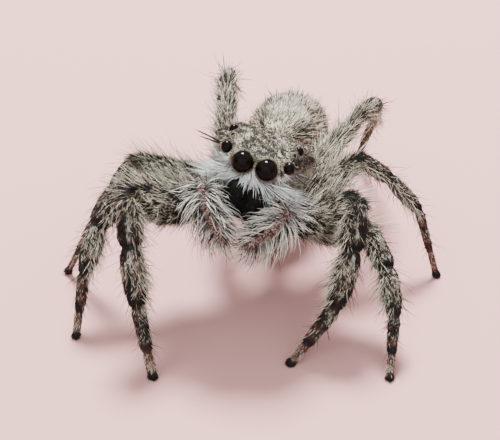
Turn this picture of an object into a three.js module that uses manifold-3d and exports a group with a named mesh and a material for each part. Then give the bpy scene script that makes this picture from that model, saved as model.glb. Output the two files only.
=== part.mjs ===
// Jumping spider, life size, standing still on eight feet with its head raised.
// Millimetres, +Z up. The spider faces -Y, and +X is its own left side.
// Every outline reaches out to the tips of the coat of hairs.

import * as THREE from 'three';
import { mergeVertices } from 'three/addons/utils/BufferGeometryUtils.js';
import Module from 'manifold-3d';

const wasm = await Module();
wasm.setup();

// Stance. The body frame starts midway between the two large front eyes.
const EYE_HEIGHT = 4.9;
const HEAD_LIFT = 13; // degrees that the body axis rises towards the head
const BODY_TILT = 14; // degrees that the body rolls down on its own left
const SOLE_DEPTH = 0.06; // a foot's axis ends this far below its flat sole
const SEAM = 0.02; // clear gap where two pieces meet
const BULGE = 1.06; // girth of a limb on the outer side of a bend
const MITRE_LEAST = 0.55; // least cosine by which the inner side of a bend is stretched
const BEND_CLEARANCE = 1.12; // distance of the first full ring beyond a bend, in mitres
const END_SHARE = 0.14; // least distance of that ring, as a share of the segment

const BODY_SIDES = 18;
const LIMB_SIDES = 10;
const JAW_SIDES = 12;
const CONE_SIDES = 8;

// Stations along the carapace: distance behind the front eyes, half width, top, lower edge.
const CARAPACE_STATIONS = [
  [-0.1, 0.74, 0.3, -0.46],
  [0.3, 1.06, 0.37, -0.76],
  [1.4, 1.32, 0.41, -1.12],
  [2.5, 1.48, 0.2, -1.24],
  [3.5, 1.22, -0.26, -1.24],
  [4.2, 0.5, -0.76, -1.14],
];
const CARAPACE_RINGS = 12;
const CARAPACE_POWER = 2.5; // squareness of the section; 2 is an ellipse

// Stations along the abdomen: distance behind the waist, half width, top, underside.
const ABDOMEN_STATIONS = [
  [0.05, 0.36, 0.36, -0.4],
  [0.6, 0.8, 0.76, -0.7],
  [2.4, 1.12, 0.96, -0.98],
  [3.8, 1.04, 0.86, -0.9],
  [4.9, 0.62, 0.44, -0.6],
  [5.4, 0.2, 0.04, -0.26],
];
const ABDOMEN_RINGS = 12;
const ABDOMEN_POWER = 2.1;
const WAIST = [0, 4.24, -0.95];
const ABDOMEN_YAW = 4; // degrees that the abdomen swings to the spider's left
const ABDOMEN_DROOP = 9; // degrees that it hangs below the line of the carapace

// Stations along the sternum and the mouthparts, measured like the carapace's.
const STERNUM_STATIONS = [
  [0.98, 0.36, -1.4, -1.94],
  [2.1, 0.6, -1.3, -2.1],
  [3.3, 0.24, -1.4, -1.8],
];
const MOUTH_STATIONS = [
  [0.5, 0.41, -1.0, -1.86],
  [0.72, 0.48, -1.0, -2.0],
  [0.95, 0.41, -1.0, -1.9],
];
const UNDERSIDE_POWER = 2.5;
const PEDICEL = { radius: 0.3, reach: 0.5 };
const SPINNERET = { spread: 0.15, length: 0.5, radius: 0.14, root: 0.3, droop: 0.1 };

// The eyes on one side. A front eye is placed outright. Each other eye sits in the side of
// the carapace, with its centre this far inside the coat.
const FRONT_EYE = { spread: 0.345, radius: 0.29, segments: 12 };
const SIDE_EYES = [
  { name: 'side', back: 0.32, height: 0.14, radius: 0.165, inset: 0.035, segments: 10 },
  { name: 'small', back: 0.95, height: 0.27, radius: 0.06, inset: 0.01, segments: 8 },
  { name: 'rear', back: 1.42, height: 0.24, radius: 0.14, inset: 0.02, segments: 10 },
];

const CHELICERA = {
  spread: 0.265, back: 0.28, lean: 0.12, halfWidth: 0.25, halfDepth: 0.27, top: -0.3, bottom: -1.72,
};
const CHELICERA_FULLNESS = [[0, 1], [0.35, 1], [0.7, 0.96], [0.92, 0.8], [1, 0.5]]; // share down, girth
const FANG = { spread: 0.345, back: 0.2, inward: 0.16, rearward: 0.22, drop: 0.3 };
const FANG_RADII = [0.09, 0.075, 0.04];

// Joints of each palp in the body frame: root, knee, end of patella, end of tibia, tip.
const PALP_JOINTS = {
  left: [
    [0.6, 0.66, -1.58],
    [1.22, 0.2, -0.98],
    [1.14, -0.2, -1.2],
    [0.9, -0.42, -1.56],
    [0.4, -0.55, -2.18],
  ],
  right: [
    [-0.6, 0.66, -1.58],
    [-1.17, 0.05, -1.04],
    [-0.99, -0.33, -1.25],
    [-0.68, -0.5, -1.6],
    [-0.09, -0.62, -2.17],
  ],
};
// Half height of each segment of a palp, at its start, middle and end.
const PALP_HALF_SIZES = [[0.2, 0.27, 0.33], [0.36, 0.4, 0.42], [0.42, 0.43, 0.42], [0.41, 0.38, 0.2]];

// Segment lengths of each pair of legs: femur, patella, tibia, metatarsus, tarsus.
const LEG_LENGTHS = [
  [2.4, 1.38, 1.65, 1.3, 0.8],
  [2.2, 1.25, 1.4, 1.1, 0.8],
  [2.2, 1.1, 1.3, 1.2, 0.85],
  [3.0, 1.15, 1.8, 1.55, 0.9],
];
const LEG_GIRTH = [1, 0.84, 0.64, 0.62]; // of each pair, against the front pair
// Half height of each segment of a front leg, at its start, middle and end.
const LEG_HALF_SIZES = [
  [0.4, 0.62, 0.45],
  [0.44, 0.44, 0.4],
  [0.4, 0.41, 0.33],
  [0.28, 0.28, 0.26],
  [0.25, 0.25, 0.24],
];
const LEAST_HALF_SIZE = 0.24;
const FEMUR_WIDTH = 0.84; // the femur is deeper than it is wide
const FEMUR_SAG = 0.33; // how far its middle hangs, as a share of its half height
const HIP_SPREAD = [1.04, 1.34, 1.38, 1.15];
const HIP_BACK = [0.85, 1.62, 2.4, 3.15];
const HIP_HEIGHT = [-1.9, -1.75, -1.68, -1.66];
const COXA_ROOT_SPREAD = 0.64;
const COXA_ROOT_BACK = [1.2, 1.78, 2.36, 2.94];
const COXA_ROOT_HEIGHT = -1.76;
const COXA_RADII = [0.26, 0.28, 0.28];

// Stance of each leg, in degrees. forward: the femur's heading, ahead of straight out.
// sweep: how far the leg's plane carries the foot ahead. knee, shin and ankle: the bends
// between femur and patella, patella and tibia, tibia and metatarsus.
const LEG_STANCES = {
  left: [
    { forward: 11, sweep: 42, knee: 110, shin: 12, ankle: 23 },
    { forward: 2, sweep: 52, knee: 51, shin: 17, ankle: 12 },
    { forward: -34, sweep: 31, knee: 68, shin: 14, ankle: 28 },
    { forward: -73, sweep: -23, knee: 38, shin: 46, ankle: 19 },
  ],
  right: [
    { forward: 52, sweep: 35, knee: 92, shin: 6, ankle: 6 },
    { forward: 24, sweep: 35, knee: 52, shin: 17, ankle: 10 },
    { forward: 26, sweep: -5, knee: 77, shin: 5, ankle: 4 },
    { forward: -79, sweep: 2, knee: 40, shin: 29, ankle: 18 },
  ],
};

const SIDES = { left: 1, right: -1 };
const UP = new THREE.Vector3(0, 0, 1);

const FINISHES = {
  carapace: { color: 0x8d8574, roughness: 0.85, metalness: 0 },
  abdomen: { color: 0xa3a08c, roughness: 0.9, metalness: 0 },
  underside: { color: 0x6b6152, roughness: 0.9, metalness: 0 },
  leg: { color: 0x786c59, roughness: 0.85, metalness: 0 },
  palp: { color: 0xb5ac9a, roughness: 0.9, metalness: 0 },
  chitin: { color: 0x17120f, roughness: 0.25, metalness: 0 },
  eye: { color: 0x050506, roughness: 0.05, metalness: 0 },
};

const radians = THREE.MathUtils.degToRad;
const vector = (values) => new THREE.Vector3(...values);

// A cosine or sine pushed outwards, so that a section of equal steps turns squarer.
function squared(value, power) {
  return Math.sign(value) * Math.abs(value) ** (2 / power);
}

// A closed tube through a row of sections. Each section is a ring about its centre, with
// side x up along the tube.
function loft(sections, sides) {
  const points = [];
  for (const section of sections) {
    for (let i = 0; i < sides; i += 1) {
      const angle = (2 * Math.PI * i) / sides;
      const x = squared(Math.cos(angle), section.power ?? 2) * section.halfWidth;
      const y = squared(Math.sin(angle), section.power ?? 2) * section.halfHeight;
      const point = section.centre.clone();
      point.addScaledVector(section.side, x);
      point.addScaledVector(section.up, y);
      points.push(point);
    }
  }
  const startHub = points.length;
  const endHub = startHub + 1;
  points.push(sections[0].centre, sections.at(-1).centre);

  const index = [];
  const lastRing = (sections.length - 1) * sides;
  for (let i = 0; i < sides; i += 1) {
    const next = (i + 1) % sides;
    index.push(startHub, next, i);
    index.push(endHub, lastRing + i, lastRing + next);
    for (let ring = 0; ring < lastRing; ring += sides) {
      index.push(ring + i, ring + next, ring + sides + next);
      index.push(ring + i, ring + sides + next, ring + sides + i);
    }
  }
  const geometry = new THREE.BufferGeometry().setFromPoints(points);
  geometry.setIndex(index);
  return geometry;
}

// A loft along +Y through stations of distance, half width, top and bottom.
function bodyLoft(stations, rings, power, grow) {
  const distances = stations.map((station) => station[0]);
  const sizes = stations.flatMap((station) => station.slice(1));
  const profile = new THREE.CubicInterpolant(distances, sizes, 3);
  const start = distances[0];
  const span = distances.at(-1) - start;
  const sections = [];
  for (let i = 0; i < rings; i += 1) {
    const share = (1 - Math.cos((Math.PI * i) / (rings - 1))) / 2;
    const [halfWidth, top, bottom] = profile.evaluate(start + span * share);
    sections.push({
      centre: new THREE.Vector3(0, start + span * share + grow * (2 * share - 1), (top + bottom) / 2),
      side: new THREE.Vector3(-1, 0, 0),
      up: UP,
      halfWidth: halfWidth + grow,
      halfHeight: (top - bottom) / 2 + grow,
      power,
    });
  }
  return loft(sections, BODY_SIDES);
}

// A round tube through the points of a straight or gently bent path.
function roundTube(path, radii, sides, grow = 0) {
  const sections = path.map((point, i) => {
    const ahead = path[Math.min(i + 1, path.length - 1)];
    const behind = path[Math.max(i - 1, 0)];
    const along = ahead.clone().sub(behind).normalize();
    const side = Math.abs(along.z) > 0.9 ? new THREE.Vector3(1, 0, 0) : along.clone().cross(UP);
    side.addScaledVector(along, -side.dot(along)).normalize();
    const overrun = i === 0 ? -grow : i === path.length - 1 ? grow : 0;
    return {
      centre: point.clone().addScaledVector(along, overrun),
      side,
      up: along.clone().cross(side),
      halfWidth: radii[i] + grow,
      halfHeight: radii[i] + grow,
    };
  });
  return loft(sections, sides);
}

function solid(geometry) {
  const bare = geometry.clone();
  bare.deleteAttribute('normal');
  bare.deleteAttribute('uv');
  const merged = mergeVertices(bare, 1e-5);
  return new wasm.Manifold(new wasm.Mesh({
    numProp: 3,
    vertProperties: new Float32Array(merged.attributes.position.array),
    triVerts: new Uint32Array(merged.index.array),
  }));
}

// The largest piece that is left of a shape when the cutters are taken out of it.
function carve(geometry, cutters) {
  let rest = solid(geometry);
  for (const cutter of cutters) {
    rest = rest.subtract(solid(cutter));
  }
  const pieces = rest.decompose();
  pieces.sort((a, b) => b.volume() - a.volume());
  const mesh = pieces[0].getMesh();
  const carved = new THREE.BufferGeometry();
  carved.setAttribute('position', new THREE.BufferAttribute(mesh.vertProperties, 3));
  carved.setIndex(new THREE.BufferAttribute(mesh.triVerts, 1));
  return carved;
}

function ball(centre, radius, segments) {
  const bands = Math.round(segments * 0.7);
  const geometry = new THREE.SphereGeometry(radius, segments, bands);
  return geometry.translate(centre.x, centre.y, centre.z);
}

const spider = new THREE.Group();
const body = new THREE.Group();
body.position.z = EYE_HEIGHT;
body.rotation.set(radians(-HEAD_LIFT), radians(BODY_TILT), 0, 'YXZ');
body.updateMatrix();
spider.add(body);

function addPiece(parent, name, geometry, finish) {
  const mesh = new THREE.Mesh(geometry, new THREE.MeshStandardMaterial(FINISHES[finish]));
  mesh.name = name;
  parent.add(mesh);
}

// --- Head and carapace -------------------------------------------------------------

function carapaceShape(grow = 0) {
  return bodyLoft(CARAPACE_STATIONS, CARAPACE_RINGS, CARAPACE_POWER, grow);
}

// Half width of the carapace at a place along it and a height.
function carapaceHalfWidth(back, height) {
  const distances = CARAPACE_STATIONS.map((station) => station[0]);
  const sizes = CARAPACE_STATIONS.flatMap((station) => station.slice(1));
  const [halfWidth, top, bottom] = new THREE.CubicInterpolant(distances, sizes, 3).evaluate(back);
  const rise = Math.abs(height - (top + bottom) / 2) / ((top - bottom) / 2);
  return halfWidth * (1 - rise ** CARAPACE_POWER) ** (1 / CARAPACE_POWER);
}

function eyePlaces() {
  const places = [];
  for (const [side, sign] of Object.entries(SIDES)) {
    const front = new THREE.Vector3(sign * FRONT_EYE.spread, 0, 0);
    places.push({ ...FRONT_EYE, name: `eye_front_${side}`, centre: front });
    for (const eye of SIDE_EYES) {
      const spread = carapaceHalfWidth(eye.back, eye.height) - eye.inset;
      const centre = new THREE.Vector3(sign * spread, eye.back, eye.height);
      places.push({ ...eye, name: `eye_${eye.name}_${side}`, centre });
    }
  }
  return places;
}

function addHead() {
  const eyes = eyePlaces();
  const sockets = eyes.map((eye) => ball(eye.centre, eye.radius + SEAM, eye.segments));
  addPiece(body, 'carapace', carve(carapaceShape(), sockets), 'carapace');
  for (const eye of eyes) {
    addPiece(body, eye.name, ball(eye.centre, eye.radius, eye.segments), 'eye');
  }
}

// --- Jaws, mouth, underside ----------------------------------------------------------

function cheliceraShape(sign, grow = 0) {
  const sections = CHELICERA_FULLNESS.map(([share, girth]) => ({
    centre: new THREE.Vector3(
      sign * CHELICERA.spread,
      CHELICERA.back - CHELICERA.lean * share,
      THREE.MathUtils.lerp(CHELICERA.top + grow, CHELICERA.bottom - grow, share),
    ),
    side: new THREE.Vector3(-1, 0, 0),
    up: new THREE.Vector3(0, 1, 0),
    halfWidth: CHELICERA.halfWidth * girth + grow,
    halfHeight: CHELICERA.halfDepth * girth + grow,
  }));
  return loft(sections, JAW_SIDES);
}

function mouthShape(grow = 0) {
  return bodyLoft(MOUTH_STATIONS, 4, UNDERSIDE_POWER, grow);
}

function sternumShape(grow = 0) {
  return bodyLoft(STERNUM_STATIONS, 6, UNDERSIDE_POWER, grow);
}

// The fang folds inwards from the end of its jaw.
function fangShape(sign) {
  const root = new THREE.Vector3(sign * FANG.spread, FANG.back, CHELICERA.bottom);
  const path = [0, 0.5, 1].map((share) => root.clone().add(new THREE.Vector3(
    -sign * FANG.inward * share,
    FANG.rearward * share ** 2,
    -FANG.drop * share,
  )));
  return roundTube(path, FANG_RADII, CONE_SIDES);
}

function addUnderside() {
  const carapace = carapaceShape(SEAM);
  const jaws = Object.values(SIDES).map((sign) => cheliceraShape(sign, SEAM));
  for (const [side, sign] of Object.entries(SIDES)) {
    const half = cheliceraShape(sign);
    addPiece(body, `chelicera_${side}`, carve(half, [carapace]), 'chitin');
    addPiece(body, `fang_${side}`, carve(fangShape(sign), jaws), 'chitin');
  }
  addPiece(body, 'mouthparts', carve(mouthShape(), [carapace, ...jaws]), 'underside');
  addPiece(body, 'sternum', carve(sternumShape(), [carapace, mouthShape(SEAM)]), 'underside');
}

// --- Waist, abdomen, spinnerets -----------------------------------------------------

const abdomen = new THREE.Group();
abdomen.position.set(...WAIST);
abdomen.rotation.set(radians(-ABDOMEN_DROOP), 0, radians(-ABDOMEN_YAW), 'ZXY');
abdomen.updateMatrix();
body.add(abdomen);

function abdomenShape(grow = 0) {
  return bodyLoft(ABDOMEN_STATIONS, ABDOMEN_RINGS, ABDOMEN_POWER, grow);
}

function addAbdomen() {
  addPiece(abdomen, 'abdomen', abdomenShape(), 'abdomen');
  const end = ABDOMEN_STATIONS.at(-1);
  for (const [side, sign] of Object.entries(SIDES)) {
    const root = new THREE.Vector3(sign * SPINNERET.spread, end[0] - SPINNERET.root, end[3]);
    const tip = root.clone().add(new THREE.Vector3(0, SPINNERET.length, -SPINNERET.droop));
    const middle = root.clone().lerp(tip, 0.7);
    const radii = [1, 0.9, 0.5].map((girth) => girth * SPINNERET.radius);
    const cone = roundTube([root, middle, tip], radii, CONE_SIDES);
    addPiece(abdomen, `spinneret_${side}`, carve(cone, [abdomenShape(SEAM)]), 'abdomen');
  }
  const waist = vector(WAIST);
  const ends = [-PEDICEL.reach, PEDICEL.reach];
  const path = ends.map((back) => waist.clone().add(new THREE.Vector3(0, back, 0)));
  const tube = roundTube(path, [PEDICEL.radius, PEDICEL.radius], LIMB_SIDES);
  const hindquarters = abdomenShape(SEAM).applyMatrix4(abdomen.matrix);
  const neighbours = [carapaceShape(SEAM), sternumShape(SEAM), hindquarters];
  addPiece(body, 'pedicel', carve(tube, neighbours), 'underside');
}

// --- Palps ----------------------------------------------------------------------------

// Sections of a jointed limb, over a run of its segments. At each joint the ring lies
// across the bend: full on the inner side, and rounded off on the outer side.
function limbSections(limb, first, last, grow = 0) {
  const { joints, halfSizes, widths, sags, normal } = limb;
  const directions = joints.slice(1).map((joint, i) => joint.clone().sub(joints[i]).normalize());

  function ringAt(centre, along, halfHeight, width) {
    return {
      centre,
      side: normal.clone().negate(),
      up: normal.clone().cross(along),
      halfWidth: halfHeight * width + grow,
      halfHeight: halfHeight + grow,
    };
  }

  function jointRing(k, shift) {
    const before = directions[Math.max(k - 1, 0)];
    const after = directions[Math.min(k, directions.length - 1)];
    const along = before.clone().add(after).normalize();
    const halfHeight = k > 0 ? halfSizes[k - 1][2] : halfSizes[0][0];
    const width = widths[Math.min(k, widths.length - 1)];
    const inner = halfHeight / Math.max(along.dot(after), MITRE_LEAST);
    const outer = halfHeight * BULGE;
    const ring = ringAt(joints[k].clone().addScaledVector(along, shift), along, (inner + outer) / 2, width);
    ring.centre.addScaledVector(ring.up, (outer - inner) / 2);
    ring.halfWidth = halfHeight * width + grow;
    return ring;
  }

  const sections = [jointRing(first, SEAM / 2 - grow)];
  for (let k = first; k <= last; k += 1) {
    const length = joints[k + 1].distanceTo(joints[k]);
    const [start, middle, end] = halfSizes[k];
    const bendBefore = directions[Math.max(k - 1, 0)].angleTo(directions[k]) / 2;
    const bendAfter = directions[k].angleTo(directions[Math.min(k + 1, directions.length - 1)]) / 2;
    const clearBefore = Math.max(start * Math.tan(bendBefore) * BEND_CLEARANCE, length * END_SHARE);
    const clearAfter = Math.max(end * Math.tan(bendAfter) * BEND_CLEARANCE, length * END_SHARE);
    const stops = [
      [clearBefore, THREE.MathUtils.lerp(start, middle, (2 * clearBefore) / length)],
      [(clearBefore + length - clearAfter) / 2, middle, sags[k]],
      [length - clearAfter, THREE.MathUtils.lerp(end, middle, (2 * clearAfter) / length)],
    ];
    for (const [distance, halfHeight, sag = 0] of stops) {
      const centre = joints[k].clone().addScaledVector(directions[k], distance);
      const ring = ringAt(centre, directions[k], halfHeight, widths[k]);
      ring.centre.addScaledVector(ring.up, -sag * halfHeight);
      sections.push(ring);
    }
    sections.push(jointRing(k + 1, k === last ? grow - SEAM / 2 : 0));
  }
  return sections;
}

function limbPiece(limb, first, last, grow = 0) {
  return loft(limbSections(limb, first, last, grow), LIMB_SIDES);
}

function palpLimb(side) {
  const joints = PALP_JOINTS[side].map(vector);
  const out = joints[1].clone().sub(joints[0]);
  const down = joints[4].clone().sub(joints[1]);
  return {
    joints,
    halfSizes: PALP_HALF_SIZES,
    widths: [1, 1, 1, 1],
    sags: [0, 0, 0, 0],
    normal: down.cross(out).normalize(),
  };
}

function addPalps() {
  const jaws = Object.values(SIDES).map((sign) => cheliceraShape(sign, SEAM));
  const neighbours = [carapaceShape(SEAM), mouthShape(SEAM), ...jaws];
  for (const side of Object.keys(SIDES)) {
    const limb = palpLimb(side);
    addPiece(body, `palp_${side}_femur`, carve(limbPiece(limb, 0, 0), neighbours), 'palp');
    addPiece(body, `palp_${side}_tibia`, carve(limbPiece(limb, 1, 2), neighbours), 'palp');
    addPiece(body, `palp_${side}_tarsus`, carve(limbPiece(limb, 3, 3), neighbours), 'palp');
  }
}

// --- Legs -----------------------------------------------------------------------------

// A leg lies in one plane. The femur's rise is found so that the foot meets the ground.
function legLimb(side, pair) {
  const sign = SIDES[side];
  const stance = LEG_STANCES[side][pair];
  const lengths = LEG_LENGTHS[pair];
  const out = new THREE.Vector3(
    sign * Math.cos(radians(stance.forward)),
    -Math.sin(radians(stance.forward)),
    0,
  );
  const ahead = new THREE.Vector3(sign * out.y, -sign * out.x, 0);
  const lift = UP.clone().multiplyScalar(Math.cos(radians(stance.sweep)));
  lift.addScaledVector(ahead, -Math.sin(radians(stance.sweep)));
  const hip = new THREE.Vector3(sign * HIP_SPREAD[pair], HIP_BACK[pair], HIP_HEIGHT[pair]);
  hip.applyMatrix4(body.matrix);

  function jointsAt(rise) {
    const bends = [0, stance.knee, stance.shin, stance.ankle, 0];
    const joints = [hip];
    let pitch = rise;
    lengths.forEach((length, k) => {
      pitch -= bends[k];
      const joint = joints.at(-1).clone();
      joint.addScaledVector(out, length * Math.cos(radians(pitch)));
      joint.addScaledVector(lift, length * Math.sin(radians(pitch)));
      joints.push(joint);
    });
    return joints;
  }

  let low = -30;
  let high = 60;
  for (let step = 0; step < 40; step += 1) {
    const middle = (low + high) / 2;
    if (jointsAt(middle).at(-1).z > -SOLE_DEPTH) {
      high = middle;
    } else {
      low = middle;
    }
  }
  const girth = LEG_GIRTH[pair];
  return {
    joints: jointsAt(low),
    halfSizes: LEG_HALF_SIZES.map((sizes) => sizes.map((size) => Math.max(size * girth, LEAST_HALF_SIZE))),
    widths: [FEMUR_WIDTH, 1, 1, 1, 1],
    sags: [FEMUR_SAG, 0, 0, 0, 0],
    normal: out.clone().cross(lift),
  };
}

function coxaShape(side, pair, hip, grow = 0) {
  const sign = SIDES[side];
  const root = new THREE.Vector3(sign * COXA_ROOT_SPREAD, COXA_ROOT_BACK[pair], COXA_ROOT_HEIGHT);
  root.applyMatrix4(body.matrix);
  const path = [0, 0.5, 1].map((share) => root.clone().lerp(hip, share));
  return roundTube(path, COXA_RADII, LIMB_SIDES, grow);
}

function addLegs() {
  const ground = new THREE.BoxGeometry(60, 60, 10).translate(0, 0, -5);
  const trunk = [carapaceShape(SEAM), sternumShape(SEAM), mouthShape(SEAM)];
  trunk.forEach((shape) => shape.applyMatrix4(body.matrix));
  const hindquarters = abdomenShape(SEAM).applyMatrix4(abdomen.matrix).applyMatrix4(body.matrix);
  for (const side of Object.keys(SIDES)) {
    let ahead = [];
    for (let pair = 0; pair < LEG_LENGTHS.length; pair += 1) {
      const limb = legLimb(side, pair);
      const femur = carve(limbPiece(limb, 0, 0), [...trunk, hindquarters, ...ahead]);
      const coxa = carve(
        coxaShape(side, pair, limb.joints[0]),
        [...trunk, limbPiece(limb, 0, 0, SEAM), ...ahead],
      );
      const name = `leg_${side}_${pair + 1}`;
      addPiece(spider, `${name}_coxa`, coxa, 'leg');
      addPiece(spider, `${name}_femur`, femur, 'leg');
      addPiece(spider, `${name}_shin`, limbPiece(limb, 1, 2), 'leg');
      addPiece(spider, `${name}_foot`, carve(limbPiece(limb, 3, 4), [ground]), 'leg');
      ahead = [limbPiece(limb, 0, 0, SEAM), coxaShape(side, pair, limb.joints[0], SEAM)];
    }
  }
}

addHead();
addUnderside();
addAbdomen();
addPalps();
addLegs();

// The origin is on the ground under the middle of the whole outline.
const outline = new THREE.Box3().setFromObject(spider);
const middle = outline.getCenter(new THREE.Vector3());
spider.position.set(-middle.x, -middle.y, 0);

export default spider;
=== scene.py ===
"""A life-size jumping spider: skin, eyes, jaws, claws and a coat of hairs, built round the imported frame."""

import math

import bpy
import numpy as np
from bpy.props import FloatProperty, FloatVectorProperty, PointerProperty
from mathutils import Matrix, Vector
from mathutils.bvhtree import BVHTree


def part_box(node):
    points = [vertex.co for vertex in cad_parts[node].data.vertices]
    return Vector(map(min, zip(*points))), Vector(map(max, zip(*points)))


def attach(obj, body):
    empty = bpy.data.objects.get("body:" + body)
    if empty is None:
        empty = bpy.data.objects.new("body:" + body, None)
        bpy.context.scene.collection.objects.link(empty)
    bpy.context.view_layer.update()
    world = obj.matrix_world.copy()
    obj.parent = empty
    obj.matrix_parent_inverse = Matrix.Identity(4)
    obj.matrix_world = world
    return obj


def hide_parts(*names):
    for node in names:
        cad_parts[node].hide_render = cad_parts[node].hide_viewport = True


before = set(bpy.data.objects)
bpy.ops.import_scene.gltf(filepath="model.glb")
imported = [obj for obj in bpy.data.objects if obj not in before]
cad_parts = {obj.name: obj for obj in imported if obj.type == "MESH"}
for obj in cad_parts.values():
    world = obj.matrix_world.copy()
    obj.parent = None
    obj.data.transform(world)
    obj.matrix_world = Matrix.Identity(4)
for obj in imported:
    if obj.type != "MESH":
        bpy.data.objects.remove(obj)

bl_info = {
    "name": "Jumping Spider",
    "version": (1, 0, 0),
    "blender": (4, 5, 0),
    "location": "3D View > Sidebar > Spider",
    "description": "Builds the skin, eyes, jaws, claws and hairy coat of a life-size jumping spider",
    "category": "Object",
}

# Shapes are worked out in millimetres and brought down to metres when a piece is finished.
MM = 0.001
SIDES = {"left": 1, "right": -1}
PAIRS = (1, 2, 3, 4)

# How the solids are parted: a shin holds patella and tibia, a foot metatarsus and tarsus.
SHIN_SPLIT = {1: 0.455, 2: 0.472, 3: 0.458, 4: 0.39}
FOOT_SPLIT = {1: 0.62, 2: 0.58, 3: 0.585, 4: 0.633}
PALP_SPLIT = 0.48
RING_REACH = 0.035  # points of two solids this close belong to the joint between them
RING_BULGE = 1.06  # girth of a solid on the outer side of a bend
RING_FULLNESS = math.sin(math.radians(72))  # a ten-sided ring across its flats
EYE_RISE = math.radians(9.6)  # the rear eyes stand this much above the body's axis

# Half height of each leg segment's flesh, as (share along, half height), for the front legs.
FEMUR, PATELLA, TIBIA, METATARSUS, TARSUS = range(5)
LEG_FLESH = (
    ((-0.03, 0.24), (0.06, 0.36), (0.3, 0.48), (0.55, 0.49), (0.8, 0.42), (0.95, 0.31), (1.03, 0.18)),
    ((-0.05, 0.22), (0.08, 0.32), (0.4, 0.35), (0.8, 0.34), (0.95, 0.26), (1.01, 0.2)),
    ((-0.01, 0.2), (0.07, 0.28), (0.35, 0.33), (0.7, 0.3), (0.93, 0.22), (1.01, 0.15)),
    ((-0.01, 0.14), (0.09, 0.2), (0.5, 0.18), (0.9, 0.16), (1.01, 0.11)),
    ((-0.01, 0.1), (0.15, 0.135), (0.7, 0.125), (0.88, 0.115), (0.97, 0.08)),
)
LEAST_FLESH = 0.09
FEMUR_SAG = 0.18
FEMUR_WIDTH = 0.86
PALP_FLESH = (
    ((0.0, 0.12), (0.3, 0.15), (0.8, 0.17), (1.03, 0.1)),
    ((-0.05, 0.11), (0.15, 0.17), (0.8, 0.18), (1.01, 0.13)),
    ((-0.02, 0.13), (0.2, 0.18), (0.8, 0.19), (1.01, 0.14)),
    ((-0.02, 0.14), (0.2, 0.19), (0.7, 0.16), (0.93, 0.09)),
)
LIMB_SIDES = 20

# Depth of the coat over each solid that the skin is drawn in from.
COAT_DEPTH = {
    "carapace": 0.1, "abdomen": 0.13, "sternum": 0.07, "mouthparts": 0.06, "pedicel": 0.05,
    "spinneret": 0.03, "coxa": 0.07,
}

# Where each eye looks, as (outwards, backwards, upwards) in the body's own frame.
GAZES = {
    "front": (0.06, -1.0, 0.04),
    "side": (0.5, -0.85, 0.1),
    "small": (0.85, -0.3, 0.45),
    "rear": (0.88, 0.2, 0.45),
}
EYE_SWELL = {"front": 1.13, "side": 1.05, "small": 1.05, "rear": 1.05}  # domed lens against its solid
RIM_TILT = math.radians(18)  # the rim of an eye looks this much higher than the eye


# --- Reading the frame ---------------------------------------------------------------------


def unit(v):
    """v, or each row of v, at length one."""
    v = np.asarray(v, float)
    return v / np.maximum(np.linalg.norm(v, axis=-1, keepdims=True), 1e-9)


def node_corners(name):
    """The triangles of a solid as an array of their corners, in millimetres."""
    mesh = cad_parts[name].data
    mesh.calc_loop_triangles()
    points = np.empty(len(mesh.vertices) * 3)
    mesh.vertices.foreach_get("co", points)
    index = np.empty(len(mesh.loop_triangles) * 3, np.int32)
    mesh.loop_triangles.foreach_get("vertices", index)
    return (points.reshape(-1, 3) / MM)[index].reshape(-1, 3, 3)


def node_points(name):
    return np.unique(node_corners(name).reshape(-1, 3).round(4), axis=0)


def node_middle(name):
    low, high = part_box(name)
    return np.array((low + high) / 2) / MM


def ring_between(first, second):
    """The points of one solid that lie on its joint with the next."""
    a, b = node_points(first), node_points(second)
    gaps = np.linalg.norm(a[:, None] - b[None], axis=2)
    return a[gaps.min(axis=1) < RING_REACH]


def joint_between(first, second):
    """The joint inside the ring where two solids of a limb meet.

    At a sharp bend the ring reaches far in on the inner side, so the joint lies outside its middle."""
    ring = ring_between(first, second)
    centre = ring.mean(axis=0)
    axes = np.linalg.svd(ring - centre)[2]
    reach = np.abs((ring - centre) @ axes.T).max(axis=0)
    outward = centre - (node_points(first).mean(axis=0) + node_points(second).mean(axis=0)) / 2
    long_axis = axes[0] * np.sign(axes[0] @ outward)
    shift = max(reach[0] / RING_FULLNESS - RING_BULGE * reach[1], 0)
    return centre + long_axis * shift, reach[1]


def slice_middle(name, point, direction):
    """The middle of the outline where a plane cuts a solid."""
    corners = node_corners(name)
    heights = (corners - point) @ direction
    cuts = []
    for a, b in ((0, 1), (1, 2), (2, 0)):
        crossing = heights[:, a] * heights[:, b] < 0
        start, end = corners[crossing, a], corners[crossing, b]
        share = heights[crossing, a] / (heights[crossing, a] - heights[crossing, b])
        cuts.append(start + (end - start) * share[:, None])
    cuts = np.concatenate(cuts)
    return (cuts.min(axis=0) + cuts.max(axis=0)) / 2


def far_end(name, point):
    """The middle of the end ring of a solid, farthest from a point."""
    points = node_points(name)
    order = np.argsort(np.linalg.norm(points - point, axis=1))
    return points[order[-11:]].mean(axis=0)


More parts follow.
